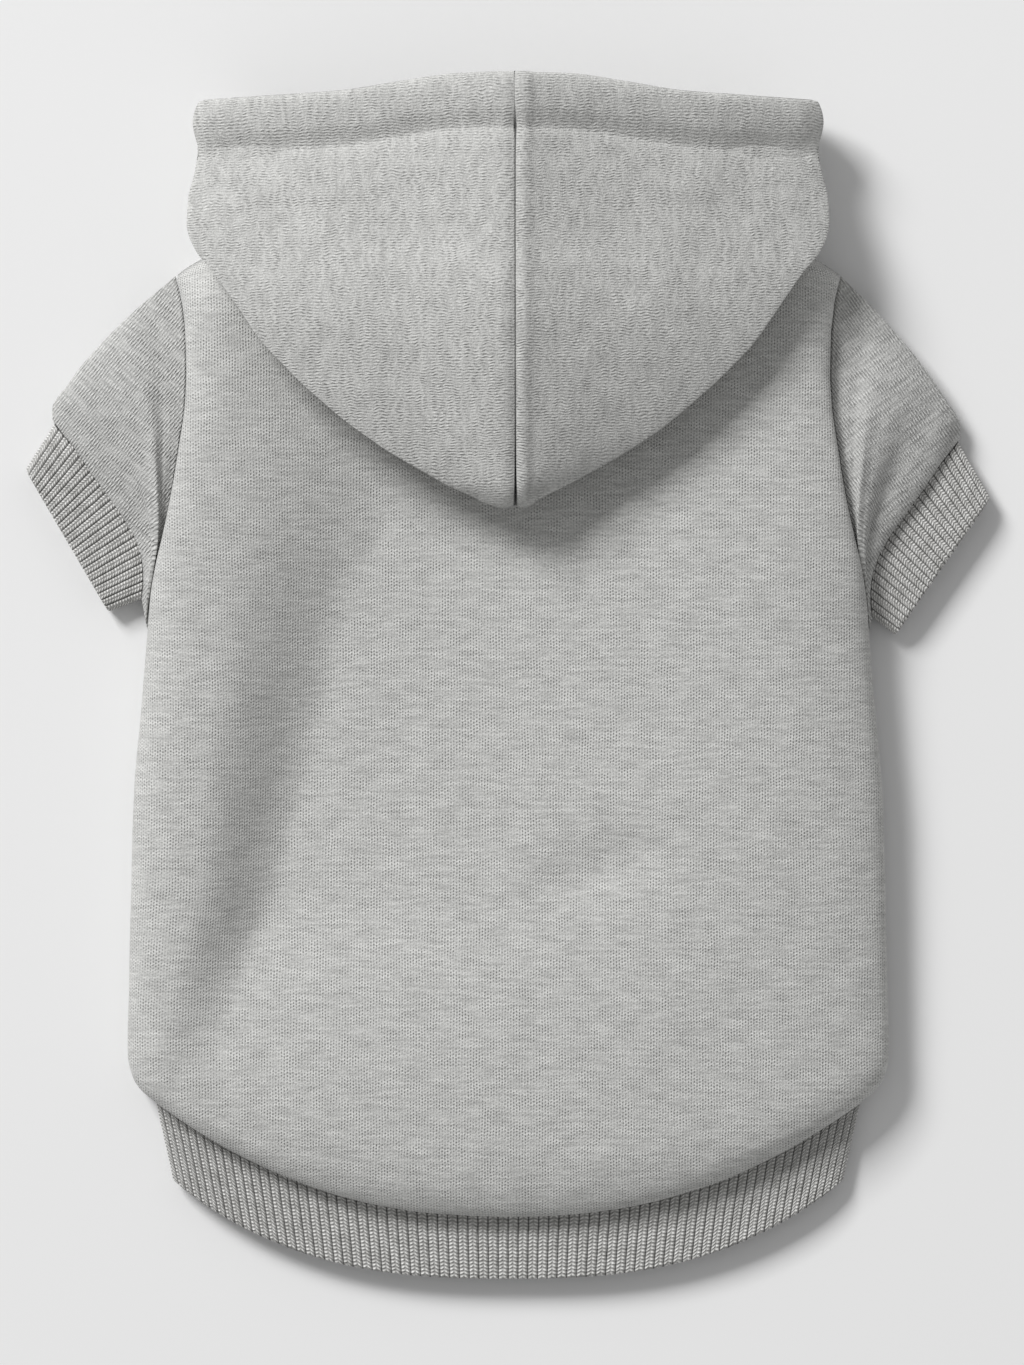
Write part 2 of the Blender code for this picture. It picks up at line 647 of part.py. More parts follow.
def hood_y(kind, share, r, upper):
    behind = -SHOULDER_DROP * (r * hood_half_width(0.0) / edge_half_width(0.0)) ** 8 + SEAM_GAP
    if kind == "back":
        bend = HOOD_TIP_BEND * share ** 6 * r ** 2
        return mix(behind, -HOOD_BACK + bend, share)
    apart = SHOULDER_ROUND * (0.56 if upper else 0.56 * smooth_step(0.8, 1.0, r) * 0.5)
    apart = mix(apart, SHOULDER_ROUND * 0.28, smooth_step(0.8, 1.0, r)) if upper else apart
    edge = mouth_y(r, upper)
    if kind == "band":
        return edge - HOOD_BAND * share
    return mix(edge - HOOD_BAND * HOOD_BAND_ROWS[-1], behind + apart, share)


def step_share(row, r):
    """1 where the underside steps down ahead of the shoulders, beside the neck's opening."""
    first = len(HOOD_BAND_ROWS) + len(HOOD_FRONT_ROWS) - 1
    neck = NECK_HALF / hood_half_width(0.0)
    if row not in (first, first + 1) or r < neck:
        return 0.0
    if row == first:
        return 1.0 - smooth_step(mix(neck, 1.0, 0.7), 1.0, r)
    return 1.0


def hood_point(side, r, upper, row, inside):
    kind, share = hood_rows()[row]
    y = hood_y(kind, share, r, upper)
    side_y = hood_y(kind, share, 1.0, upper)
    seam = HOOD_SEAM_SHIFT + side * SEAM_GAP / 2.0
    x = mix(seam, side * (hood_half_width(side_y) - inside), r)
    fold = hood_fold_height(side_y)
    dip = math.exp(-(abs(x - seam) / HOOD_SEAM_VALLEY) ** 2)
    rounding = 1.0
    if kind == "back":
        rounding = read_table(HOOD_END_ROUNDING, share)
        y += HOOD_SEAM_DIP * dip * smooth_step(0.9, 1.0, share)
    inner_y = y + inside * (1.0 - rounding)
    if r == 1.0 or not upper:
        inner_y += inside * step_share(row, r)
    if upper:
        rise = (hood_ridge_rise(y) - inside) * puff(r, 1.7, 1.9) - HOOD_SEAM_DIP * dip
        if kind == "band" and share == 1.0:
            rise -= HOOD_BAND_GROOVE
        return x, inner_y, fold + rise * rounding
    under = 1.0 - puff(r, 6.0, 2.0)
    rest = (hood_support(x, y) if kind == "back" else 0.0) + inside
    return x, inner_y, mix(rest, fold, max(under, 1.0 - rounding))


def make_hood_half(name, side):
    across = hood_columns()
    loop = [(r, True) for r in across] + [(r, False) for r in reversed(across[:-1])]
    neck_column = len(across) - 1 - len(HOOD_OUTER_COLUMNS)
    slit_row = len(HOOD_BAND_ROWS) + len(HOOD_FRONT_ROWS) - 1
    first_open = len(loop) - 1 - neck_column

    def place(column, row, inside):
        r, upper = loop[column]
        return hood_point(side, r, upper, row, inside)

    def is_open(column, row):
        return row == slit_row and column >= first_open

    sizes = len(loop) - 1, len(hood_rows()) - 1
    return cloth_sheet(name, GREY_FLEECE, *sizes, place, FLEECE_WALL, flip=side < 0, is_open=is_open)


# Building.


def cloth_sheet(name, colour, columns, rows, place, wall, wrap=False, flip=False, is_open=None):
    """A grid whose points are moved to place(column, row, inside), inside being 0 or the wall.

    Row 0 is the grid's far edge. A wrapped grid meets itself after the last column. is_open says which
    squares of the grid are left out.
    """
    bpy.ops.mesh.primitive_grid_add(x_subdivisions=columns, y_subdivisions=rows, size=2.0)
    obj = bpy.context.object
    obj.name = name
    obj.data.name = name
    obj.data.materials.append(make_cloth(name, colour))
    bm = bmesh.new()
    bm.from_mesh(obj.data)
    if is_open:
        gone = []
        for face in bm.faces:
            middle = face.calc_center_median()
            column = int((middle.x + 1.0) / 2.0 * columns)
            row = int((1.0 - middle.y) / 2.0 * rows)
            if is_open(column, row):
                gone.append(face)
        bmesh.ops.delete(bm, geom=gone, context="FACES")
    column_layer = bm.verts.layers.int.new("column")
    row_layer = bm.verts.layers.int.new("row")
    for vert in bm.verts:
        vert[column_layer] = round((vert.co.x + 1.0) / 2.0 * columns)
        vert[row_layer] = round((1.0 - vert.co.y) / 2.0 * rows)
        vert.co = Vector(place(vert[column_layer], vert[row_layer], 0.0))
    bmesh.ops.remove_doubles(bm, verts=bm.verts, dist=0.00002)
    if flip:
        bmesh.ops.reverse_faces(bm, faces=bm.faces)
    for face in bm.faces:
        face.smooth = True
    bm.to_mesh(obj.data)
    bm.free()
    give_wall(obj, place, wall)
    collect(obj)
    return obj


def give_wall(obj, place, wall):
    """Adds the inner side and the rims, and moves the inner points to their own shape."""
    outer = len(obj.data.vertices)
    solid = obj.modifiers.new("Wall", "SOLIDIFY")
    solid.thickness = wall
    solid.offset = -1.0
    bpy.ops.object.modifier_apply(modifier=solid.name)
    columns = obj.data.attributes["column"].data
    rows = obj.data.attributes["row"].data
    for vert in obj.data.vertices[outer:]:
        vert.co = place(columns[vert.index].value, rows[vert.index].value, wall)


def collect(obj):
    for owner in list(obj.users_collection):
        owner.objects.unlink(obj)
    bpy.data.collections["dog_hoodie"].objects.link(obj)


def make_cloth(name, colour):
    cloth = bpy.data.materials.new(name)
    cloth.use_nodes = True
    shader = cloth.node_tree.nodes["Principled BSDF"]
    shader.inputs["Base Color"].default_value = (*colour, 1.0)
    shader.inputs["Roughness"].default_value = 0.95
    shader.inputs["Metallic"].default_value = 0.0
    return cloth


def centre_on_origin(pieces):
    """Moves all pieces by one step, so that their common outline is centred on X and Y."""
    depsgraph = bpy.context.evaluated_depsgraph_get()
    corners = []
    for piece in pieces:
        mesh = piece.evaluated_get(depsgraph).to_mesh()
        corners += [vert.co.copy() for vert in mesh.vertices]
    shift = Vector((
        -(min(c.x for c in corners) + max(c.x for c in corners)) / 2.0,
        -(min(c.y for c in corners) + max(c.y for c in corners)) / 2.0,
        -min(c.z for c in corners),
    ))
    for piece in pieces:
        piece.data.transform(Matrix.Translation(shift))


def main():
    for obj in list(bpy.data.objects):
        bpy.data.objects.remove(obj, do_unlink=True)
    bpy.context.scene.collection.children.link(bpy.data.collections.new("dog_hoodie"))
    pieces = [make_back_panel(), make_belly_panel(), make_hem_rib()]
    for row in SLEEVES:
        pieces.append(make_sleeve(row))
        pieces.append(make_cuff(row))
    pieces.append(make_hood_half("hood_left", -1))
    pieces.append(make_hood_half("hood_right", 1))
    centre_on_origin(pieces)


main()
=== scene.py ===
"""A grey marl dog hoodie laid flat on its belly, back side up, with its hood laid back over the shoulders.

Every panel repeats the solids' outlines on a finer grid, at heights that suit the photo's shading, and adds
what shows: the knit, the ribs, the hood's stitched hem and soft folds. Metres, +Y to the face opening, +Z up.
"""

import math
from bisect import bisect_right
from functools import lru_cache, partial
from itertools import accumulate

import bmesh
import bpy
from mathutils import Matrix, Vector, noise


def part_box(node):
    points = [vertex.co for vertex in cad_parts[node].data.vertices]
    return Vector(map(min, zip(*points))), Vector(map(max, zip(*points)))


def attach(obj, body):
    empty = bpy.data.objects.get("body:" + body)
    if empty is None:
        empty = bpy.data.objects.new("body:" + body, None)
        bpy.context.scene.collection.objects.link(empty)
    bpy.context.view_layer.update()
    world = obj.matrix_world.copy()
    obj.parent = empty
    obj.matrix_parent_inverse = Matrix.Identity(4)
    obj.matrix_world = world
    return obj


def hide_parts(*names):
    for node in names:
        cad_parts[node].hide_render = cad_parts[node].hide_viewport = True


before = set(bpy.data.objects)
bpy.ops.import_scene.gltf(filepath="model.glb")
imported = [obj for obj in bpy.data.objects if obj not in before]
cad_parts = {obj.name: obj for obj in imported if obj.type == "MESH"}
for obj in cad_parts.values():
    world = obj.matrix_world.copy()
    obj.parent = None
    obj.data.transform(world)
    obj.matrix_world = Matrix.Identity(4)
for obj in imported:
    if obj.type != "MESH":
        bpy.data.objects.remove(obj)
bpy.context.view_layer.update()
for imported in list(bpy.context.selected_objects):
    imported.select_set(False)

# Cloth.
FLEECE_WALL = 0.0024
RIB_WALL = 0.0026
SEAM_GAP = 0.0002

# Body, lying flat.
BODY_WIDTH = 0.320
BODY_LENGTH = 0.410
BODY_HEIGHT = 0.033
SIDE_SEAM_HEIGHT = 0.0098
SHOULDER_DROP = 0.0147
ARMHOLE_DEPTH = 0.149
ARMHOLE_RISE = 0.0140
SHOULDER_ROUND = 0.025
NECK_WIDTH = 0.180
HEM_BOW = 0.0485
HEM_ROUND = 0.028
HEM_LIP_HEIGHT = 0.0158
HEM_LIP_TUCK = 0.0050
BELLY_CUT = 0.018
PUFF_POWER = 4.0
HEM_POWER = 2.3

# Ribbed band at the hem.
HEM_RIB_SHOW = 0.0264
HEM_RIB_WIDTH = 0.282
HEM_RIB_TAPER = 0.0075
HEM_RIB_BOW = 0.0408
HEM_RIB_POWER = 2.7
HEM_RIB_THICKNESS = 0.0108
HEM_RIB_PITCH = 0.0041
RIB_DEPTH = 0.0009

# Sleeves and their ribbed cuffs.
SLEEVE_LENGTH = 0.083
SLEEVE_HEIGHT = 0.0235
SLEEVE_BULGE = 0.0030
SLEEVE_LIP_TUCK = 0.0045
SLEEVE_TUCK_UNDER = 0.0012
CUFF_SEAM_WIDTH = 0.083
CUFF_SEAM_BOW = 0.0088
CUFF_MOUTH_WIDTH = 0.070
CUFF_HEIGHT = 0.0245
CUFF_THICKNESS = 0.0112
CUFF_RIB_PITCH = 0.0030

# Hood, a pocket of two halves.
HOOD_WIDTH = 0.269
HOOD_FRONT = 0.0688
HOOD_BACK = 0.1134
HOOD_FOLD_HEIGHT = 0.026
HOOD_FOLD_RUN = 0.050
HOOD_PUFF = 0.0365
HOOD_FOLD_RADIUS = 0.0130
HOOD_MOUTH_SETBACK = 0.0090
HOOD_THROAT = 0.030
HOOD_BAND = 0.0235
HOOD_SEAM_SHIFT = 0.0030
HOOD_SEAM_DIP = 0.0016
HOOD_SEAM_VALLEY = 0.0025
HOOD_TIP_BEND = 0.0037
HOOD_CLEARANCE = 0.0016
SHOULDER_REACH = 0.012

# Outline of the body's sides. The first table runs from the shoulder to the underarm and the second from
# there to the hem's corner: the share of the way, and the half width as a share of half BODY_WIDTH. The
# third table draws the corner in to the hem band: the share of the way down the side, and how far in.
ARMHOLE_OUTLINE = (
    (0.00, 0.8725), (0.08, 0.856), (0.17, 0.847), (0.27, 0.844), (0.37, 0.848), (0.46, 0.860),
    (0.55, 0.873), (0.65, 0.890), (0.74, 0.908), (0.83, 0.928), (0.92, 0.941), (1.00, 0.947),
)
SIDE_OUTLINE = (
    (0.00, 0.947), (0.16, 0.963), (0.36, 0.984), (0.57, 0.991), (0.78, 0.997), (0.90, 1.000), (1.00, 1.000),
)
HEM_CORNER_TURN = ((0.00, 0.00), (0.90, 0.00), (0.95, 0.19), (0.98, 0.53), (1.00, 1.00))

# Rows of the back panel around its hem lip: the inset from the hem line as a share of HEM_LIP_TUCK, how far
# the row is under the lip (0 on top), the share of the way down the side, the height there as a share of
# SIDE_SEAM_HEIGHT, and the angle that the cloth's outer side has turned from facing up.
HEM_LIP_ROWS = (
    (2.40, 0.00, 0.950, 0.92, 14.0), (1.00, 0.00, 0.968, 0.85, 30.0), (0.24, 0.00, 0.981, 0.76, 58.0),
    (0.00, 0.00, 0.990, 0.67, 92.0), (0.30, 0.80, 0.996, 0.58, 142.0), (1.00, 1.00, 1.000, 0.50, 172.0),
)

# Soft ridges and dents of the back: centre across as a share of half the width, centre along as a share of
# the length from the neck, direction in degrees from +X, half length and half width as shares of
# BODY_WIDTH, and height as a share of BODY_HEIGHT.
BODY_FOLDS = (
    (-0.88, 0.48, 84.0, 0.42, 0.045, 0.060),
    (0.24, 0.640, 24.0, 0.085, 0.038, -0.090),
    (0.34, 0.600, 28.0, 0.110, 0.040, 0.020),
    (0.60, 0.800, 80.0, 0.180, 0.060, -0.020),
)

# Step beside the left flank, which lies higher than the middle: place along as a share of the length, place
# of the step's middle as a share of half the width, its drop as a share of BODY_HEIGHT, and half its width.
FLANK_STEP = (
    (0.00, -0.62, 0.30, 0.034), (0.10, -0.60, 0.34, 0.036), (0.25, -0.53, 0.42, 0.038),
    (0.37, -0.585, 0.48, 0.028), (0.53, -0.655, 0.53, 0.022), (0.67, -0.715, 0.47, 0.018),
    (0.78, -0.80, 0.22, 0.015), (0.88, -0.85, 0.05, 0.015), (1.00, -0.85, 0.00, 0.015),
)

# How far right of the step the back is up again, the share of its height that the back loses towards the
# hem, and the share of the step that the hood bridges.
FLANK_STEP_REACH = 0.220
HEM_TAPER = 0.22
HOOD_BRIDGING = 0.6

# Outline of the hood behind the neck and ahead of it: the share of HOOD_BACK or HOOD_FRONT, and the half
# width as a share of half HOOD_WIDTH.
HOOD_BACK_OUTLINE = (
    (0.000, 0.990), (0.060, 0.963), (0.120, 0.920), (0.240, 0.850), (0.360, 0.780), (0.480, 0.690),
    (0.585, 0.595), (0.680, 0.500), (0.760, 0.405), (0.825, 0.314), (0.884, 0.219), (0.940, 0.125),
    (0.967, 0.090),
)
HOOD_FRONT_OUTLINE = (
    (0.000, 0.990), (0.090, 1.000), (0.250, 0.996), (0.420, 0.975), (0.560, 0.968), (0.700, 0.975),
    (0.840, 0.958), (1.000, 0.925),
)

# Height of the hood's ridge above its side folds, as a share of HOOD_PUFF, ahead of the neck and behind it.
HOOD_FRONT_PUFF = ((0.00, 0.74), (0.22, 0.85), (0.44, 0.92), (0.65, 0.93), (0.85, 0.90), (1.00, 0.84))
HOOD_BACK_PUFF = (
    (0.00, 0.74), (0.12, 0.68), (0.24, 0.60), (0.40, 0.51), (0.56, 0.42), (0.72, 0.33), (0.86, 0.26),
    (1.00, 0.20),
)

# Face opening's upper edge: the share of half HOOD_WIDTH, and the setback as a share of
# HOOD_MOUTH_SETBACK.
HOOD_MOUTH_EDGE = ((0.00, 0.00), (0.18, 0.05), (0.37, 0.40), (0.56, 0.80), (0.75, 0.96), (1.00, 1.15))

# The two sleeves: side, the top edge as a share of SLEEVE_LENGTH, the angles of the top edge and of the
# cuff seam below the horizontal, the cuff's two side lengths as shares of CUFF_HEIGHT, and how far the
# mouth starts along the seam as a share of CUFF_SEAM_WIDTH.
SLEEVES = (
    ("left", -1, 0.967, 50.3, 63.7, 0.80, 0.60, 0.143),
    ("right", 1, 1.027, 54.4, 64.1, 0.93, 0.48, 0.187),
)

# Rows of a sleeve's end around its lip: the inset from the cuff seam on the upper side and on the
# underside, as shares of SLEEVE_LIP_TUCK, the height as a share of the way from the cuff's top to the
# sleeve's, and the angle that the cloth's outer side has turned from facing up.
SLEEVE_LIP_ROWS = (
    (3.0, 3.0, 0.86, 12.0), (0.9, 2.1, 0.64, 36.0), (0.0, 1.3, 0.36, 80.0), (0.2, 0.6, 0.15, 108.0),
    (0.8, 0.0, 0.00, 132.0),
)


def mix(low, high, share):
    return low + (high - low) * share


def smooth_step(start, end, value):
    share = min(max((value - start) / (end - start), 0.0), 1.0)
    return share * share * (3.0 - 2.0 * share)


def read_table(table, key, column=1):
    """Value of a column at key, along a smooth curve that doesn't overshoot its rows."""
    keys = [row[0] for row in table]
    values = [row[column] for row in table]
    key = min(max(key, keys[0]), keys[-1])
    last = len(keys) - 1
    slopes = [(values[n + 1] - values[n]) / (keys[n + 1] - keys[n]) for n in range(last)]
    place = min(bisect_right(keys, key), last) - 1

    def tangent(row):
        before, after = slopes[max(row - 1, 0)], slopes[min(row, last - 1)]
        return 2.0 * before * after / (before + after) if before * after > 0.0 else 0.0

    span = keys[place + 1] - keys[place]
    share = (key - keys[place]) / span
    square, cube = share ** 2, share ** 3
    return (
        values[place] * (2 * cube - 3 * square + 1)
        + tangent(place) * span * (cube - 2 * square + share)
        + values[place + 1] * (3 * square - 2 * cube)
        + tangent(place + 1) * span * (cube - square)
    )


def puff(share, power=PUFF_POWER, root=PUFF_POWER):
    """Rounded cross-section: 1 in the middle, falling steeply to 0 where share is 1."""
    return max(1.0 - min(abs(share), 1.0) ** power, 0.0) ** (1.0 / root)


def line_lengths(points, counted=(1.0, 1.0, 1.0)):
    """Distances from the first of a line's points, with the share of each direction that is counted."""
    shares = Vector(counted)
    steps = (((after - before) * shares).length for before, after in zip(points, points[1:]))
    return list(accumulate(steps, initial=0.0))


def arc_spaced(curve, pieces, samples=400):
    """Parameters 0 to 1 that cut curve into stretches of equal length."""
    lengths = line_lengths([Vector(curve(n / samples)) for n in range(samples + 1)])
    cuts = []
    place = 0
    for piece in range(pieces + 1):
        wanted = lengths[-1] * piece / pieces
        while place < samples - 1 and lengths[place + 1] < wanted:
            place += 1
        step = lengths[place + 1] - lengths[place]
        cuts.append((place + (wanted - lengths[place]) / step) / samples)
    return cuts


# Body.

HALF_WIDTH = BODY_WIDTH / 2.0
HEM_CORNER = HEM_RIB_WIDTH / 2.0 + HEM_RIB_TAPER
NECK_HALF = NECK_WIDTH / 2.0
SIDE_LENGTH = BODY_LENGTH - HEM_BOW - SHOULDER_DROP
ARMHOLE_SHARE = ARMHOLE_DEPTH / SIDE_LENGTH


def side_share(v):
    """Share of the way from the underarm to the hem's corner; below 0 it is along the armhole."""
    return (v - ARMHOLE_SHARE) / (1.0 - ARMHOLE_SHARE)


@lru_cache(None)
def armhole_opening(v):
    """How far the armhole is open at this height of the side: 0 at its ends and 1 in the middle."""
    q = v / ARMHOLE_SHARE
    return math.sin(math.pi * q) if 0.0 < q < 1.0 else 0.0


@lru_cache(None)
def edge_half_width(v):
    if v < ARMHOLE_SHARE:
        return HALF_WIDTH * read_table(ARMHOLE_OUTLINE, v / ARMHOLE_SHARE)
    full = HALF_WIDTH * read_table(SIDE_OUTLINE, side_share(v))
    return mix(full, HEM_CORNER, read_table(HEM_CORNER_TURN, side_share(v)))


def edge_y(v):
    return -SHOULDER_DROP - SIDE_LENGTH * v


@lru_cache(None)
def seam_height(v):
    return SIDE_SEAM_HEIGHT * read_table(((0.0, 1.0), (0.88, 1.0), (0.95, 0.92), (1.0, 0.5)), side_share(v))


def back_edge_height(v):
    return seam_height(v) + SEAM_GAP / 2.0 + ARMHOLE_RISE * armhole_opening(v)


def belly_edge_height(v):
    return (seam_height(v) - SEAM_GAP / 2.0) * (1.0 - armhole_opening(v))


def neck_arch(x):
    """1 in the middle of the neck's opening and 0 at its ends and on the shoulders."""
    return math.sqrt(max(1.0 - (abs(x) / NECK_HALF) ** 4, 0.0))


def front_rounding(x, depth):
    """Rise of the cloth behind the neck and shoulder line, depth being the distance behind it."""
    left = 1.0 - min(max(depth / SHOULDER_ROUND, 0.0), 1.0)
    return math.sqrt(max(1.0 - left ** 2 * (1.0 - neck_arch(x) ** 2), 0.0))


def hem_rounding(inset):
    return puff(1.0 - min(inset / HEM_ROUND, 1.0), 2.0, 2.0)


def body_crown(inset):
    """Height of the back over its middle line, inset being the distance from the hem."""
    tapered = BODY_HEIGHT * (1.0 - HEM_TAPER * (1.0 - inset / BODY_LENGTH) ** 2)
    return mix(HEM_LIP_HEIGHT, tapered, hem_rounding(inset))


def soft_folds(table, x, y, width, length, size=1.0, unit=0.001):
    """Height of a table's ridges and dents, whose lengths are shares of size and whose rise is in units."""
    height = 0.0
    for across, along, angle, half_length, half_width, rise in table:
        turn = math.radians(angle)
        dx, dy = x - across * width, y - along * length
        reach = (dx * math.cos(turn) + dy * math.sin(turn)) / (half_length * size)
        aside = (dy * math.cos(turn) - dx * math.sin(turn)) / (half_width * size)
        height += rise * unit * math.exp(-reach ** 2 - aside ** 2)
    return height


def fold_height(x, y):
    """Soft ridges and dents of the back at a point."""
    folds = soft_folds(BODY_FOLDS, x, y, HALF_WIDTH, -BODY_LENGTH, BODY_WIDTH, BODY_HEIGHT)
    return folds - flank_drop(x, y)


def flank_drop(x, y):
    """How far the back lies below the left flank's height at a point."""
    along = -y / BODY_LENGTH
    aside = x - HALF_WIDTH * read_table(FLANK_STEP, along, 1)
    half = read_table(FLANK_STEP, along, 3)
    drop = BODY_HEIGHT * read_table(FLANK_STEP, along, 2) * smooth_step(-half, half, aside)
    back_up = min(max((aside - half) / (FLANK_STEP_REACH - half), 0.0), 1.0)
    return drop * (1.0 - mix(back_up, smooth_step(0.0, 1.0, back_up), 0.35))


def bowed_y(u, v, centre_y, y_at_edge):
    """Y of a row that is centre_y in the middle and y_at_edge at the side."""
    shoulder = -SHOULDER_DROP * (1.0 - v)
    bow = y_at_edge - centre_y - shoulder
    return centre_y + shoulder * abs(u) ** 8 + bow * abs(u) ** HEM_POWER


def back_surface(u, v, inside=0.0):
    """Point of the back panel above the hem lip, on its outer side or inside by a wall."""
    centre_y = -BODY_LENGTH * v
    x = u * edge_half_width(v)
    y = bowed_y(u, v, centre_y, edge_y(v))
    depth = -SHOULDER_DROP * abs(u) ** 8 - y
    crown = body_crown(BODY_LENGTH + centre_y) - inside
    edge = back_edge_height(v)
    rounding = front_rounding(x, depth)
    height = edge + (crown - edge) * puff(u) * rounding
    height += fold_height(x, y) * puff(u, 12.0, 3.0) * rounding ** 4
    y -= inside * shoulder_closeness(depth) * (1.0 - neck_arch(x))
    return x - u * inside, y, height


def shoulder_closeness(depth):
    """1 on the shoulder line, falling to 0 where the body has its full height."""
    return 1.0 - min(max(depth / SHOULDER_ROUND, 0.0), 1.0)


@lru_cache(None)
def row_between(rows, place):
    """Columns of a table at a place between its rows."""
    table = [(n, *values) for n, values in enumerate(rows)]
    return [read_table(table, place, column) for column in range(1, len(table[0]))]


def hem_lip_point(u, row, inside=0.0):
    inset, under, down, height_share, turn = row_between(HEM_LIP_ROWS, row)
    inset *= HEM_LIP_TUCK
    v = mix(ARMHOLE_SHARE, 1.0, down)
    centre_y = inset - BODY_LENGTH
    x = u * (edge_half_width(v) - inside)
    y = bowed_y(u, 1.0, centre_y, edge_y(v))
    y += inside * math.sin(math.radians(turn)) * puff(u)
    if under > 0.0:
        crown = HEM_LIP_HEIGHT * mix(1.0, 0.72, under)
    else:
        crown = body_crown(inset)
    crown -= inside * math.cos(math.radians(turn))
    edge = SIDE_SEAM_HEIGHT * height_share + SEAM_GAP / 2.0
    return x, y, edge + (crown - edge) * puff(u)


def body_height(x, y):
    """Height of the back panel's outer side over a point, or 0 ahead of its front edge."""
    v = min(max(-y / BODY_LENGTH, 0.0), 1.0)
    u = 0.0
    for _ in range(12):
        u = min(max(x / edge_half_width(v), -1.0), 1.0)
        miss = bowed_y(u, v, -BODY_LENGTH * v, edge_y(v)) - y
        v = min(max(v + miss / BODY_LENGTH, 0.0), 1.0)
    if y > -SHOULDER_DROP * abs(u) ** 8:
        return 0.0
    return back_surface(u, v)[2]


def belly_point(u, v, inside=0.0):
    opening = armhole_opening(v)
    centre_y = -(BODY_LENGTH - HEM_LIP_TUCK - BELLY_CUT) * v
    x = u * edge_half_width(v)
    y = bowed_y(u, v, centre_y, edge_y(v))
    depth = -SHOULDER_DROP * abs(u) ** 8 - y
    edge = belly_edge_height(v) + inside * opening
    side = mix(edge, inside, puff(u, 12.0))
    closeness = shoulder_closeness(depth)
    front = (1.0 - neck_arch(x)) * (1.0 - math.sqrt(1.0 - closeness ** 2))
    y -= inside * closeness * (1.0 - neck_arch(x))
    full = seam_height(v) - SEAM_GAP / 2.0
    return x - u * inside * (1.0 - opening), y, mix(side, full, front)


# Ribbed band at the hem.


def hem_band_base(u, upper, inside):
    """Edge of the band at the body: under the lip above, and edge to edge with the belly below."""
    share = puff(u, 14.0, 2.0)
    if upper:
        x, y, z = hem_lip_point(u, len(HEM_LIP_ROWS) - 1)
        return x - u * inside, y - SEAM_GAP, z - SEAM_GAP - inside * share ** 2
    x, y, z = belly_point(u, 1.0)
    return x - u * inside, y - SEAM_GAP, z + inside * share


def hem_band_edge(u, upper, inside):
    fold = HEM_RIB_THICKNESS / 2.0
    cut = 0.0 if upper else BELLY_CUT
    x = u * (HEM_RIB_WIDTH / 2.0 - inside)
    y = -(BODY_LENGTH + HEM_RIB_SHOW - cut) + (HEM_RIB_BOW - cut) * abs(u) ** HEM_RIB_POWER
    rise = (fold - inside) * puff(u, 14.0, 2.0)
    return x, y, fold + (rise if upper else -rise)


# Sleeves and cuffs.


@lru_cache(None)
def armhole_point(side, q):
    """Plan point just outside the body's edge, q running from the shoulder to the underarm."""
    v = q * ARMHOLE_SHARE
    step = 0.002
    before, after = max(v - step, 0.0), min(v + step, ARMHOLE_SHARE)
    slope = (edge_half_width(after) - edge_half_width(before)) / (edge_y(after) - edge_y(before))
    across = SEAM_GAP / math.hypot(1.0, slope)
    return Vector((side * (edge_half_width(v) + across), edge_y(v) - across * slope))


@lru_cache(None)
def sleeve_frame(row):
    """Cuff seam's upper end, the direction along the seam, and the direction out of the cuff."""
    side, length, top_angle, seam_angle = row[1:5]
    top, seam = math.radians(top_angle), math.radians(seam_angle)
    reach = length * SLEEVE_LENGTH
    corner = armhole_point(side, 0.0) + reach * Vector((side * math.cos(top), -math.sin(top)))
    along = Vector((-side * math.cos(seam), -math.sin(seam)))
    out = Vector((side * math.sin(seam), -math.cos(seam)))
    return corner, along, out


def loop_place(turn):
    """Share across the flattened tube, and whether the place is on the upper side."""
    return (1.0 - math.cos(2.0 * math.pi * turn)) / 2.0, turn <= 0.5


def narrowed(share, inside, width):
    """Share across a tube that is narrower by a wall at both folds."""
    return mix(inside / width, 1.0 - inside / width, share)


def tube_height(q, upper, fold, top, power, inside):
    """Height around a flattened tube that lies on the surface."""
    share = puff(2.0 * q - 1.0, power, 2.0)
    return mix(fold, top - inside, share) if upper else mix(fold, inside, share)


def lip_share(q, upper):
    """How much of the lip there is: none at the folds and on the underside."""
    return 4.0 * q * (1.0 - q) if upper else 0.0


def cuff_seam_point(row, q, inset):
    """Point of the seam between sleeve and cuff, moved back towards the armhole by an inset."""
    corner, along, out = sleeve_frame(row)
    bow = CUFF_SEAM_BOW * 6.75 * q ** 2 * (1.0 - q)
    seam = corner + along * CUFF_SEAM_WIDTH * q - out * bow
    back = armhole_point(row[1], q) - seam
    room = back.length / (back.length + 3.0 * SLEEVE_LIP_TUCK)
    return seam + back.normalized() * inset * room


def cuff_point(row, q, upper, at_mouth, inside):
    fold = CUFF_THICKNESS / 2.0
    if not at_mouth:
        place = narrowed(q, inside, CUFF_SEAM_WIDTH)
        plan = cuff_seam_point(row, place, lip_share(q, upper) * SLEEVE_LIP_TUCK)
        plan += sleeve_frame(row)[2] * SEAM_GAP
        return plan.x, plan.y, tube_height(q, upper, fold, CUFF_THICKNESS, 4.0, inside)
    corner, along, out = sleeve_frame(row)
    top_height, bottom_height, start = row[5:8]
    place = narrowed(q, inside, CUFF_MOUTH_WIDTH)
    reach = CUFF_HEIGHT * mix(top_height, bottom_height, place)
    plan = corner + along * (CUFF_SEAM_WIDTH * start + CUFF_MOUTH_WIDTH * place) + out * reach
    return plan.x, plan.y, tube_height(q, upper, fold, CUFF_THICKNESS, 8.0, inside)


# Hood.

HOOD_HALF = HOOD_WIDTH / 2.0


@lru_cache(None)
def hood_half_width(y):
    if y < 0.0:
        return HOOD_HALF * read_table(HOOD_BACK_OUTLINE, -y / HOOD_BACK)
    return HOOD_HALF * read_table(HOOD_FRONT_OUTLINE, y / HOOD_FRONT)


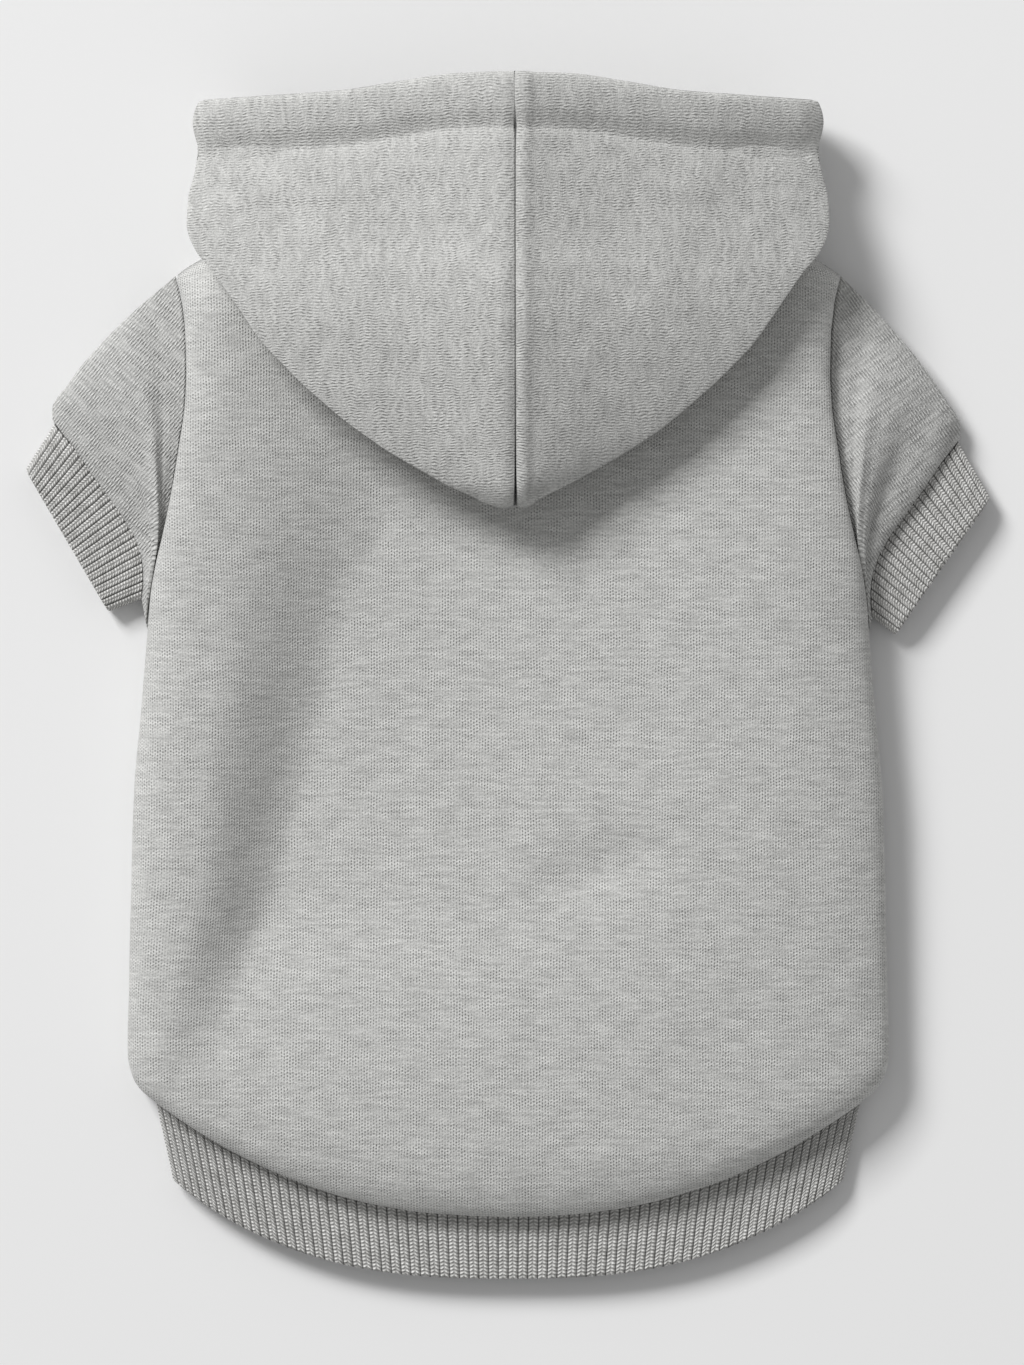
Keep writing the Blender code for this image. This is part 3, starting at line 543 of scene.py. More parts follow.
@lru_cache(None)
def hood_ridge_rise(y):
    if y < 0.0:
        return HOOD_PUFF * read_table(HOOD_BACK_PUFF, -y / HOOD_BACK)
    return HOOD_PUFF * read_table(HOOD_FRONT_PUFF, y / HOOD_FRONT)


def neck_line(x):
    """Y of the body's front edge: straight at the neck, falling along the shoulders."""
    return -SHOULDER_DROP * min(abs(x) / edge_half_width(0.0), 1.0) ** 8


def hood_support(x, y):
    """Height that the hood's underside lies on behind the neck line."""
    y = min(y, neck_line(x) - SHOULDER_REACH)
    return body_height(x, y) + HOOD_CLEARANCE + HOOD_BRIDGING * flank_drop(x, y)


@lru_cache(None)
def hood_fold_height(y):
    """Height of the side folds, which come down ahead of the shoulders."""
    half = hood_half_width(y)
    line = neck_line(half)
    over_body = hood_support(half, min(y, line)) + HOOD_FOLD_RADIUS
    return mix(over_body, HOOD_FOLD_HEIGHT, smooth_step(0.0, HOOD_FOLD_RUN, y - line))


def mouth_y(r, upper):
    edge = HOOD_FRONT - HOOD_MOUTH_SETBACK * read_table(HOOD_MOUTH_EDGE, r)
    if upper:
        return edge
    return mix(HOOD_THROAT, edge, smooth_step(0.0, 1.0, r ** 1.5))


# Fine grids. The share of the wall that is left at a rounded edge, and the distance that merges points.

THINNEST_EDGE = 0.12
MERGE_DISTANCE = 0.00002


def evenly(pieces, start=0.0, end=1.0):
    return [mix(start, end, n / pieces) for n in range(pieces + 1)]


def rounded_shares(pieces, rise, width):
    """Shares 0 to 1 across half a puffed section, evenly spaced along its curve."""
    def section(t):
        share = math.sin(math.pi / 2.0 * t)
        return width * share, 0.0, rise * puff(share)

    return [math.sin(math.pi / 2.0 * t) for t in arc_spaced(section, pieces)]


def mirrored(half):
    return [-share for share in reversed(half[1:])] + half


def measured_grid(points, across_plan, origin):
    """Distances across and along the cloth at every grid point, from the middle row and the origin column.

    On a panel in plan, across leaves out Y and along leaves out X, so the grain stays straight. On a tube,
    across is taken once, on the middle row.
    """
    middle = len(points) // 2
    if not across_plan:
        across = [line_lengths(points[middle])] * len(points)
        return across, list(zip(*(line_lengths(line) for line in zip(*points))))
    across = []
    for line in points:
        reach = line_lengths(line, (1.0, 0.0, 1.0))
        across.append([distance - reach[origin] for distance in reach])
    along = []
    for line in zip(*points):
        reach = line_lengths(line, (0.0, 1.0, 1.0))
        along.append([distance - line[middle].y - reach[middle] for distance in reach])
    return across, list(zip(*along))


def cloth_sheet(name, columns, rows, place, wall, relief=None, wrap=False, flip=False, is_open=None,
                ends="", plan=True, turned=False, knit=None):
    """A panel on a fine grid, with its inner side and rounded edges.

    columns and rows are the grid lines' own values, place(column, row, inside) gives a point, and
    relief(column, row, point, along) is how far the outer side stands proud there. ends names the free
    edges that are rounded: t and b for the first and last row, l and r for the first and last column.
    """
    count = len(columns) if wrap else len(columns) - 1
    last = len(rows) - 1
    lines = columns + [columns[0]] if wrap else columns
    outer = [[Vector(place(column, row, 0.0)) for column in lines] for row in rows]
    across, along = measured_grid(outer, plan, 0 if turned or not plan else len(columns) // 2)
    bpy.ops.mesh.primitive_grid_add(x_subdivisions=count, y_subdivisions=last, size=2.0)
    obj = bpy.context.object
    obj.name = obj.data.name = name
    bm = bmesh.new()
    bm.from_mesh(obj.data)
    column_layer = bm.verts.layers.int.new("column")
    row_layer = bm.verts.layers.int.new("row")
    for vert in bm.verts:
        vert[column_layer] = round((vert.co.x + 1.0) / 2.0 * count)
        vert[row_layer] = round((1.0 - vert.co.y) / 2.0 * last)
    if is_open:
        gone = []
        for face in bm.faces:
            middle = face.calc_center_median()
            column = int((middle.x + 1.0) / 2.0 * count)
            row = int((1.0 - middle.y) / 2.0 * last)
            if is_open(lines[column], lines[column + 1], rows[row], rows[row + 1]):
                gone.append(face)
        bmesh.ops.delete(bm, geom=gone, context="FACES")
    yarn = bm.loops.layers.uv.verify()
    for face in bm.faces:
        face.smooth = True
        for loop in face.loops:
            column, row = loop.vert[column_layer], loop.vert[row_layer]
            if knit:
                loop[yarn].uv = knit(lines[column], along[row][column], outer[row][column])
            elif turned:
                loop[yarn].uv = along[row][column], across[row][column]
            else:
                loop[yarn].uv = across[row][column], along[row][column]
    for vert in bm.verts:
        vert.co = outer[vert[row_layer]][vert[column_layer]]
    if flip:
        bmesh.ops.reverse_faces(bm, faces=bm.faces)

    def fullness(column, row):
        """Share of the wall that is left at a rounded edge, 1 away from it."""
        reach = wall / 2.0
        distances = {
            "t": along[row][column] - along[0][column],
            "b": along[last][column] - along[row][column],
            "l": across[row][column] - across[row][0],
            "r": across[row][-1] - across[row][column],
        }
        nearest = min([reach] + [distances[end] for end in ends])
        return max(math.sqrt(max(1.0 - (1.0 - nearest / reach) ** 2, 0.0)), THINNEST_EDGE)

    bmesh.ops.remove_doubles(bm, verts=bm.verts, dist=MERGE_DISTANCE)
    bm.normal_update()
    proud = {}
    for vert in bm.verts:
        column, row = vert[column_layer], vert[row_layer]
        full = fullness(column, row)
        rise = 0.0
        if relief:
            rise = relief(lines[column], rows[row], vert.co, along[row][column])
        proud[vert] = vert.normal * (rise * full - (1.0 - full) * wall / 2.0)
    for vert, step in proud.items():
        vert.co += step
    bm.to_mesh(obj.data)
    bm.free()
    outer_count = len(obj.data.vertices)
    solid = obj.modifiers.new("Wall", "SOLIDIFY")
    solid.thickness = wall
    solid.offset = -1.0
    bpy.ops.object.modifier_apply(modifier=solid.name)
    column_at = obj.data.attributes["column"].data
    row_at = obj.data.attributes["row"].data
    for vert in obj.data.vertices[outer_count:]:
        column, row = column_at[vert.index].value, row_at[vert.index].value
        inside = wall * (1.0 + fullness(column, row)) / 2.0
        vert.co = place(lines[column], rows[row], inside)
    for layer in ("column", "row"):
        obj.data.attributes.remove(obj.data.attributes[layer])
    obj.data.transform(PLACE)
    obj.select_set(False)
    return obj


def slack(point, size, amount):
    """Slight unevenness of cloth that lies loose."""
    return amount * noise.noise(Vector(point) / size)


# Back and belly.

def back_place(column, row, inside):
    kind, value = row
    return (hem_lip_point if kind == "lip" else back_surface)(column, value, inside)


def back_relief(column, row, point, along):
    fade = puff(column, 6.0, 2.0)
    return slack(point, 0.024, 0.0003) * fade + slack(point, 0.009, 0.00012)


def make_back():
    columns = mirrored(rounded_shares(96, BODY_HEIGHT - SIDE_SEAM_HEIGHT, HALF_WIDTH))
    start = 1.0 - HEM_LIP_ROWS[0][0] * HEM_LIP_TUCK / BODY_LENGTH
    rows = [("back", start * mix(share, share ** 2, 0.25)) for share in evenly(150)[:-1]]
    rows += [("lip", value) for value in evenly(34, 0.0, len(HEM_LIP_ROWS) - 1.0)]
    return cloth_sheet("back_cloth", columns, rows, back_place, FLEECE_WALL, back_relief, ends="lr")


def make_belly():
    columns = mirrored([math.sin(math.pi / 2.0 * share) for share in evenly(44)])
    return cloth_sheet("belly_cloth", columns, evenly(90), belly_point, FLEECE_WALL, flip=True, ends="lr")


# Ribbed bands. A rib's grooves are at whole numbers of its place across. Each rib is cut into fine lines on
# the side that shows and into coarse ones below.

FINE_CUTS = 8
COARSE_CUTS = 3


def rib_relief(place, depth):
    """A rib's two rounded halves, with a deep groove on each side and a shallow one between them."""
    aside = abs(place - round(place))
    deep = math.exp(-(aside / 0.105) ** 2)
    shallow = math.exp(-((0.5 - aside) / 0.11) ** 2)
    return -depth * (deep + 0.22 * shallow)


def rib_sway(rib, along, amount, seed):
    """How far a rib leans aside there, as a share of its width."""
    return amount * noise.noise(Vector((rib * 0.9, along / 0.006, seed)))


def rib_lines(ribs):
    """Places across the band's two sides, finer on the side that shows: rib number and side."""
    upper = [(n / FINE_CUTS, True) for n in range(ribs * FINE_CUTS + 1)]
    lower = [(n / COARSE_CUTS, False) for n in range(ribs * COARSE_CUTS - 1, 0, -1)]
    return upper + lower


def rib_grain(pitch):
    """The knit's own coordinates on a ribbed tube, whose ribs are a pitch apart."""
    def grain(column, along, point):
        return (column[0] if column[1] else -column[0]) * pitch, along

    return grain


def make_hem():
    def middle(share):
        return hem_band_edge(2.0 * share - 1.0, True, 0.0)

    ribs = round(line_lengths([Vector(middle(share)) for share in evenly(200)])[-1] / HEM_RIB_PITCH)
    spread = {}
    for pieces in (FINE_CUTS, COARSE_CUTS):
        for n, share in enumerate(arc_spaced(middle, ribs * pieces)):
            spread[n / pieces, pieces] = 2.0 * share - 1.0

    def place(column, row, inside):
        rib, upper = column
        u = spread[rib, FINE_CUTS if upper else COARSE_CUTS]
        base = Vector(hem_band_base(u, upper, inside))
        return base.lerp(Vector(hem_band_edge(u, upper, inside)), row)

    def relief(column, row, point, along):
        rib, upper = column
        u = abs(spread[rib, FINE_CUTS if upper else COARSE_CUTS])
        wave = rib + rib_sway(rib, along, 0.07, 0.0)
        return rib_relief(wave, RIB_DEPTH * (1.0 - 0.6 * smooth_step(0.9, 1.0, u)))

    rows = sorted(evenly(30) + [0.975, 0.99])
    return cloth_sheet(
        "hem_band", rib_lines(ribs), rows, place, RIB_WALL, relief,
        wrap=True, ends="b", plan=False, knit=rib_grain(HEM_RIB_PITCH),
    )


def make_cuff(row):
    ribs = round(CUFF_MOUTH_WIDTH / CUFF_RIB_PITCH)

    def place(column, line, inside):
        rib, upper = column
        start = Vector(cuff_point(row, rib / ribs, upper, False, inside))
        return start.lerp(Vector(cuff_point(row, rib / ribs, upper, True, inside)), line)

    def relief(column, line, point, along):
        rib = column[0] + rib_sway(column[0], along, 0.08, row[1] * 7.0)
        edge = min(column[0], ribs - column[0])
        return rib_relief(rib, RIB_DEPTH * (0.55 + 0.45 * smooth_step(0.0, 1.5, edge)))

    rows = sorted(evenly(28) + [0.98, 0.992])
    return cloth_sheet(
        "cuff_band_" + row[0], rib_lines(ribs), rows, place, RIB_WALL, relief,
        wrap=True, flip=row[1] > 0, ends="b", plan=False, knit=rib_grain(CUFF_RIB_PITCH),
    )


# Sleeves. Folds: place along the sleeve and across it, direction, half length and width in metres, and rise
# in millimetres, all on a sleeve of the size in SLEEVE_PLAN.

SLEEVE_END_HEIGHT = 0.0185
SLEEVE_CORNER = 0.0064
SLEEVE_PLAN = 0.06, 0.09
LIP_ROW_REACH = 0.12
SLEEVE_FOLDS = (
    (0.50, 0.42, 88.0, 0.050, 0.0140, 2.2),
    (0.30, 0.40, 84.0, 0.026, 0.0042, -0.9),
    (0.45, 0.46, 86.0, 0.030, 0.0038, 0.7),
    (0.60, 0.52, 86.0, 0.030, 0.0042, -1.0),
    (0.78, 0.56, 88.0, 0.024, 0.0040, 0.6),
    (0.62, 0.84, 78.0, 0.016, 0.0050, -1.0),
)


def sleeve_corner(row, q, reach):
    """Step out at the sleeve's upper corner, where it stands proud of the cuff."""
    outward = -sleeve_frame(row)[1]
    bump = math.exp(-((reach - 1.12) / 0.65) ** 2)
    bump *= smooth_step(0.0, 0.3, reach) * (1.0 - smooth_step(1.3, 1.6, reach))
    return outward * SLEEVE_CORNER * bump * (1.0 - q) ** 5


def sleeve_place(row, turn, line, inside):
    q, upper = loop_place(turn)
    place = narrowed(q, inside, CUFF_SEAM_WIDTH)
    kind, value = line
    cuff_top = CUFF_THICKNESS + SEAM_GAP
    if kind == "lip":
        over, beneath, rise, angle = row_between(SLEEVE_LIP_ROWS, value)
        share = lip_share(q, upper)
        turned = math.radians(angle * share)
        inset = mix(beneath, over, share) * SLEEVE_LIP_TUCK + inside * math.sin(turned)
        plan = cuff_seam_point(row, place, inset) + sleeve_corner(row, q, 1.0 + LIP_ROW_REACH * value)
        top = mix(cuff_top, SLEEVE_END_HEIGHT, rise)
        fold = mix(CUFF_THICKNESS / 2.0, SIDE_SEAM_HEIGHT, rise)
        return plan.x, plan.y, tube_height(q, upper, fold, top, 4.0, inside * math.cos(turned))
    over, beneath, rise, angle = SLEEVE_LIP_ROWS[0]
    start = armhole_point(row[1], narrowed(q, inside, ARMHOLE_DEPTH))
    end = cuff_seam_point(row, place, beneath * SLEEVE_LIP_TUCK)
    plan = start.lerp(end, value)
    plan += Vector((0.5 * row[1], 0.85)) * SLEEVE_BULGE * 4.0 * value * (1.0 - value) * (1.0 - q) ** 2
    plan += sleeve_corner(row, q, value)
    opening = math.sin(math.pi * q)
    if upper:
        armhole_z = SIDE_SEAM_HEIGHT + (ARMHOLE_RISE - SLEEVE_TUCK_UNDER - inside) * opening
    else:
        armhole_z = mix(SIDE_SEAM_HEIGHT - SEAM_GAP / 2.0, inside, opening)
    near = smooth_step(0.55, 1.0, value)
    top = mix(SLEEVE_HEIGHT, mix(cuff_top, SLEEVE_END_HEIGHT, rise), near)
    fold = mix(SIDE_SEAM_HEIGHT, mix(CUFF_THICKNESS / 2.0, SIDE_SEAM_HEIGHT, rise), near)
    lean = inside * mix(1.0, math.cos(math.radians(angle * lip_share(q, upper))), near)
    sleeve_z = tube_height(q, upper, fold, top, mix(2.0, 4.0, near), lean)
    return plan.x, plan.y, mix(armhole_z, sleeve_z, smooth_step(0.0, 0.75, value))


def make_sleeve(row):
    def relief(turn, line, point, along):
        q, upper = loop_place(turn)
        if not upper:
            return 0.0
        kind, value = line
        reach = value if kind == "sleeve" else 1.0 + LIP_ROW_REACH * value
        fade = math.sqrt(4.0 * q * (1.0 - q))
        fade *= smooth_step(0.02, 0.25, reach) * (1.0 - smooth_step(1.1, 1.4, reach))
        length, width = SLEEVE_PLAN
        folds = soft_folds(SLEEVE_FOLDS, reach * length, q * width, length, width)
        return fade * (folds + slack(point, 0.012, 0.0004))

    def knit(turn, along, point):
        """The wales run along the sleeve's top edge."""
        top = math.radians(row[3])
        across_wales = -row[1] * point.x * math.sin(top) - point.y * math.cos(top)
        return across_wales, row[1] * point.x * math.cos(top) - point.y * math.sin(top)

    rows = [("sleeve", share) for share in evenly(40)[:-1]]
    rows += [("lip", value) for value in evenly(28, 0.0, len(SLEEVE_LIP_ROWS) - 1.0)]
    return cloth_sheet(
        "sleeve_cloth_" + row[0], evenly(150)[:-1], rows, partial(sleeve_place, row), FLEECE_WALL, relief,
        wrap=True, flip=row[1] > 0, plan=False, knit=knit,
    )


# Hood.

HOOD_BAND_END = 1.10
HOOD_SEAM_GAP = 0.0003
HOOD_CREST = 1.1, 1.32
HOOD_UNDER_SHIFT = 0.002
HOOD_EVENING = 0.016
HOOD_BULGE = 0.0030
HOOD_STITCH_DIP = 0.0018
HOOD_SEAM_SWELL = 0.0025
NECK_SHARE = NECK_HALF / hood_half_width(0.0)

# Height of the hood's cloth towards its tip: the share of the way, and the share of the height that is left.
HOOD_END_ROUNDING = ((0.00, 1.0), (0.86, 1.0), (0.94, 0.86), (0.982, 0.55), (1.0, 0.0))

# Soft folds of a half: place across and along, direction, half length and width in metres, rise in mm.
HOOD_FOLDS = (
    (0.55, 0.10, 70.0, 0.050, 0.014, 0.7),
    (0.30, -0.25, 82.0, 0.050, 0.012, -0.6),
    (0.75, 0.25, 60.0, 0.035, 0.010, -0.5),
    (0.20, -0.60, 75.0, 0.040, 0.010, 0.5),
)


def hood_y(kind, share, r, upper):
    behind = -SHOULDER_DROP * (r * hood_half_width(0.0) / edge_half_width(0.0)) ** 8 + SEAM_GAP
    if kind == "back":
        bend = HOOD_TIP_BEND * share ** 6 * r ** 2
        return mix(behind, -HOOD_BACK + bend, share)
    beside = smooth_step(0.8, 1.0, r)
    if upper:
        apart = SHOULDER_ROUND * mix(0.56, 0.28, beside)
    else:
        apart = SHOULDER_ROUND * 0.28 * beside
    if kind == "step":
        return mix(behind + apart, behind, share)
    edge = mouth_y(r, upper)
    if kind == "band":
        return edge - HOOD_BAND * share
    return mix(edge - HOOD_BAND * HOOD_BAND_END, behind + apart, share)


@lru_cache(None)
def even_fold_height(y):
    """Height of the side folds, evened out as cloth bridges what lies under it."""
    weights = [(n, 1.0 - (n / 7.0) ** 2) for n in range(-6, 7)]
    total = sum(weight for _, weight in weights)
    heights = [weight * hood_fold_height(y + HOOD_EVENING * n / 6.0) for n, weight in weights]
    return sum(heights) / total


SIDE_FOLD = [(n / 400.0, even_fold_height(n / 400.0)) for n in range(-100, 81)]


def hood_point(side, r, upper, kind, share, inside):
    y = hood_y(kind, share, r, upper)
    side_y = hood_y(kind, share, 1.0, upper)
    seam = HOOD_SEAM_SHIFT + side * HOOD_SEAM_GAP / 2.0 + (0.0 if upper else HOOD_UNDER_SHIFT)
    x = mix(seam, side * (hood_half_width(side_y) - inside), r)
    fold = read_table(SIDE_FOLD, y)
    dip = math.exp(-(abs(x - seam) / HOOD_SEAM_VALLEY) ** 2)
    rounding = 1.0
    if kind == "back":
        rounding = read_table(HOOD_END_ROUNDING, share)
        y += HOOD_SEAM_DIP * dip * smooth_step(0.9, 1.0, share)
    inner_y = y + inside * (1.0 - rounding)
    if upper:
        rise = (hood_ridge_rise(y) - inside) * puff(r, *HOOD_CREST) - HOOD_SEAM_DIP * dip
        return x, inner_y, fold + rise * rounding
    under = 1.0 - puff(r, 6.0, 2.0)
    rest = inside
    shift = inside * (1.0 - smooth_step(0.93, 1.0, r))
    if kind == "back":
        rest += hood_support(x, y)
        inner_y += shift * (1.0 - smooth_step(0.0, 0.12, share))
    elif kind == "step":
        rest += hood_support(x, y) * smooth_step(0.0, 1.0, share)
        inner_y += shift
    elif kind == "front":
        inner_y += shift * smooth_step(0.4, 1.0, share)
    return x, inner_y, mix(rest, fold, max(under, 1.0 - rounding))


def band_relief(setback):
    """The hood's hem: it bulges, then dips into its stitch line, behind which the single cloth lies."""
    share = max(setback / HOOD_BAND, 0.0)
    if share < 1.0:
        bulge = HOOD_BULGE * math.sin(math.pi * share ** 0.5)
        return bulge - HOOD_STITCH_DIP * smooth_step(0.6, 1.0, share)
    return -HOOD_STITCH_DIP * math.exp(-(share - 1.0) / 0.13)


def make_hood(name, side):
    upper = [(r, True) for r in rounded_shares(104, HOOD_PUFF, HOOD_HALF)]
    lower = [(math.sin(math.pi / 2.0 * share), False) for share in reversed(evenly(56)[:-1])]
    rows = [("band", share) for share in evenly(36, 0.0, HOOD_BAND_END)]
    rows += [("front", share) for share in evenly(22)[1:]]
    rows += [("step", share) for share in evenly(7)[1:]]
    rows += [("back", 1.0 - (1.0 - share) ** 1.5) for share in evenly(86)[1:]]

    def place(column, row, inside):
        return hood_point(side, *column, *row, inside)

    def relief(column, row, point, along):
        r, is_upper = column
        if not is_upper:
            return 0.0
        kind, share = row
        tip = 1.0 - smooth_step(0.9, 1.0, share) if kind == "back" else 1.0
        rise = band_relief(mouth_y(r, True) - point.y) * (1.0 - 0.6 * smooth_step(0.93, 1.0, r))
        aside = abs(point.x - HOOD_SEAM_SHIFT)
        if side > 0:
            rise += 0.0010 * math.exp(-((aside - 0.0034) / 0.0026) ** 2)
            rise += HOOD_SEAM_SWELL * math.exp(-aside / 0.013)
        else:
            rise += HOOD_SEAM_SWELL * math.exp(-(aside / 0.030) ** 2)
        rise += soft_folds(HOOD_FOLDS, abs(point.x), point.y, HOOD_HALF, HOOD_BACK)
        return tip * (rise + slack(point, 0.018, 0.0004) + slack(point, 0.008, 0.00012))

    def is_open(before, after, row, following):
        return not before[1] and min(before[0], after[0]) < NECK_SHARE and following[0] == "step"

    return cloth_sheet(
        name, upper + lower, rows, place, FLEECE_WALL, relief, flip=side < 0, is_open=is_open,
        ends="t", turned=True,
    )


# Finishes. SEAM_PAINTED_SHADE, the painted shade along the hood's centre seam: distances from the seam
# where the darkest shade ends and where the painted shade has faded out, and the shades there.

SEAM_PAINTED_SHADE = 0.0003, 0.0010, 0.15, 1.0


def join(tree, socket, value):
    if isinstance(value, bpy.types.NodeSocket):
        tree.links.new(value, socket)
    else:
        socket.default_value = value


def fill(tree, node, **values):
    """Inputs of a node by their names, with _ for a space."""
    for entry, value in values.items():
        join(tree, node.inputs[entry.replace("_", " ")], value)


def calculate(tree, operation, *values, kind="Math"):
    node = tree.nodes.new("ShaderNode" + kind)
    node.operation = operation
    for socket, value in zip(node.inputs, values):
        join(tree, socket, value)
    return node.outputs[0]


def blotches(tree, place, scale, detail=2.0, seed=0.0, roughness=0.5):
    """Noise stretched by a scale for each direction, about 0 to 1."""
    stretched = calculate(tree, "MULTIPLY", place, (*scale, 1.0), kind="VectorMath")
    pattern = tree.nodes.new("ShaderNodeTexNoise")
    pattern.noise_dimensions = "4D"
    fill(tree, pattern, Vector=stretched, W=seed, Scale=1.0, Detail=detail, Roughness=roughness)
    return pattern


def remap(tree, value, low, high, to_low=0.0, to_high=1.0):
    node = tree.nodes.new("ShaderNodeMapRange")
    node.interpolation_type = "SMOOTHSTEP"
    for socket, entry in zip(node.inputs, (value, low, high, to_low, to_high)):
        join(tree, socket, entry)
    return node.outputs[0]


def shaded(tree, colour, factor):
    """Colour times a number."""
    node = tree.nodes.new("ShaderNodeVectorMath")
    node.operation = "SCALE"
    join(tree, node.inputs[0], colour)
    join(tree, node.inputs["Scale"], factor)
    return node.outputs[0]


def knit_place(tree, wander, seed):
    """The cloth's own coordinates, in metres, wandering a little as knitted rows do."""
    grain = tree.nodes.new("ShaderNodeUVMap")
    place = grain.outputs[0]
    for across, along, move_across, move_along in wander:
        drift = blotches(tree, grain.outputs[0], (across, along), 1.0, seed + across).outputs["Color"]
        centred = calculate(tree, "SUBTRACT", drift, (0.5, 0.5, 0.5), kind="VectorMath")
        move = (move_across, move_along, 0.0)
        place = calculate(tree, "MULTIPLY_ADD", centred, move, place, kind="VectorMath")
    return grain.outputs[0], place


def marled(tree, patterns):
    """Share of the light yarn, 0 to 1, from patterns that each have their own weight."""
    marl = 0.5
    for pattern, weight in patterns:
        centred = calculate(tree, "SUBTRACT", pattern.outputs[0], 0.5)
        marl = calculate(tree, "MULTIPLY_ADD", centred, weight, marl)
    return remap(tree, marl, 0.0, 1.0)


def yarn_legs(tree, place, wale, course, slant, middle_at):
    """Slanted legs of the stitches: the yarn's height, and the share from a wale's middle to its side."""
    work = partial(calculate, tree)
    split = tree.nodes.new("ShaderNodeSeparateXYZ")
    join(tree, split.inputs[0], place)
    across = work("ADD", work("DIVIDE", split.outputs[0], wale), middle_at)
    share = work("MULTIPLY", work("PINGPONG", across, 0.5), 2.0)
    row = work("DIVIDE", split.outputs[1], course)
    phase = work("MULTIPLY_ADD", share, slant, row)
    turn = work("SINE", work("MULTIPLY", phase, 2.0 * math.pi))
    strand = work("MULTIPLY_ADD", turn, 0.5, 0.5)
    leg = work("SINE", work("MULTIPLY", share, math.pi))
    return strand, leg, share


def plain_material(name, **settings):
    """A Principled finish with its settings, and its shader."""
    material = bpy.data.materials.new(name)
    material.use_nodes = True
    shader = material.node_tree.nodes["Principled BSDF"]
    fill(material.node_tree, shader, **settings)
    return material, shader


def cloth_material(name, light, dark, build):
    """A Principled finish whose colour and height come from build(tree)."""
    material, shader = plain_material(
        name, Roughness=0.92, Metallic=0.0, Specular_IOR_Level=0.25,
        Sheen_Weight=0.25, Sheen_Roughness=0.45, Sheen_Tint=(0.9, 0.9, 0.9, 1.0),
    )
    tree = material.node_tree
    marl, shade, height = build(tree)
    blend = tree.nodes.new("ShaderNodeMix")
    blend.data_type = "RGBA"
    fill(tree, blend, Factor=marl, A=(*dark, 1.0), B=(*light, 1.0))
    bump = tree.nodes.new("ShaderNodeBump")
    fill(tree, bump, Strength=1.0, Distance=1.0, Height=height)
    colour = shaded(tree, blend.outputs["Result"], shade)
    fill(tree, shader, Base_Color=colour, Normal=bump.outputs[0])
    return material


def fleece(name, light, dark, course, slant, relief, seed, wale=0.0024, painted_pit_shade=0.75, streaks=(90.0, 620.0),
           rows=0.0, wander=((45.0, 45.0, 0.0012, 0.0012), (240.0, 240.0, 0.0005, 0.0005)), seam=False):
    """Sweatshirt knit: fine slanted stitches under a short nap, with the streaks of marl yarn.

    rows is how far the legs run together into lines, and seam paints shade along the edge that turns under.
    """
    def build(tree):
        work = partial(calculate, tree)
        grain, place = knit_place(tree, wander, seed)
        strand, leg, _ = yarn_legs(tree, place, wale, course, slant, 0.0)
        nap = blotches(tree, grain, (1500.0, 1500.0), 2.0, seed + 1.0).outputs[0]
        wear = blotches(tree, grain, (170.0, 170.0), 2.0, seed + 2.0).outputs[0]
        worn = remap(tree, wear, 0.35, 0.62, 0.35, 1.0)
        gap = work("MULTIPLY", work("SUBTRACT", 1.0, strand), work("SUBTRACT", 1.0, leg))
        line = work("MULTIPLY", leg, work("MULTIPLY_ADD", strand, 0.5, 0.5))
        meshed = work("SUBTRACT", 0.25, gap)
        lined = work("SUBTRACT", line, 0.48)
        mixed = work("MULTIPLY_ADD", work("SUBTRACT", lined, meshed), rows, meshed)
        yarn = work("MULTIPLY", mixed, worn)
        fuzz = work("SUBTRACT", nap, 0.5)
        height = work("MULTIPLY", work("MULTIPLY_ADD", fuzz, 0.9, yarn), relief)
        streak = blotches(tree, place, streaks, 3.0, seed + 3.0, 0.6)
        mottle = blotches(tree, grain, (70.0, 150.0), 2.0, seed + 4.0)
        fleck = blotches(tree, grain, (700.0, 1500.0), 1.0, seed + 5.0)
        # Painted light and shade: lighter on the raised yarn and nap, darker in the hollows between them.
        shade = work("MULTIPLY_ADD", yarn, painted_pit_shade, 1.0)
        shade = work("MULTIPLY_ADD", fuzz, painted_pit_shade * 0.7, shade)
        # Painted shade: darker along the seam edge, where the gap between the hood's halves lies in shade.
        if seam:
            split = tree.nodes.new("ShaderNodeSeparateXYZ")
            join(tree, split.inputs[0], grain)
            shade = work("MULTIPLY", shade, remap(tree, split.outputs[1], *SEAM_PAINTED_SHADE))
        return marled(tree, ((streak, 1.5), (mottle, 0.4), (fleck, 0.9))), shade, height

    return cloth_material(name, light, dark, build)


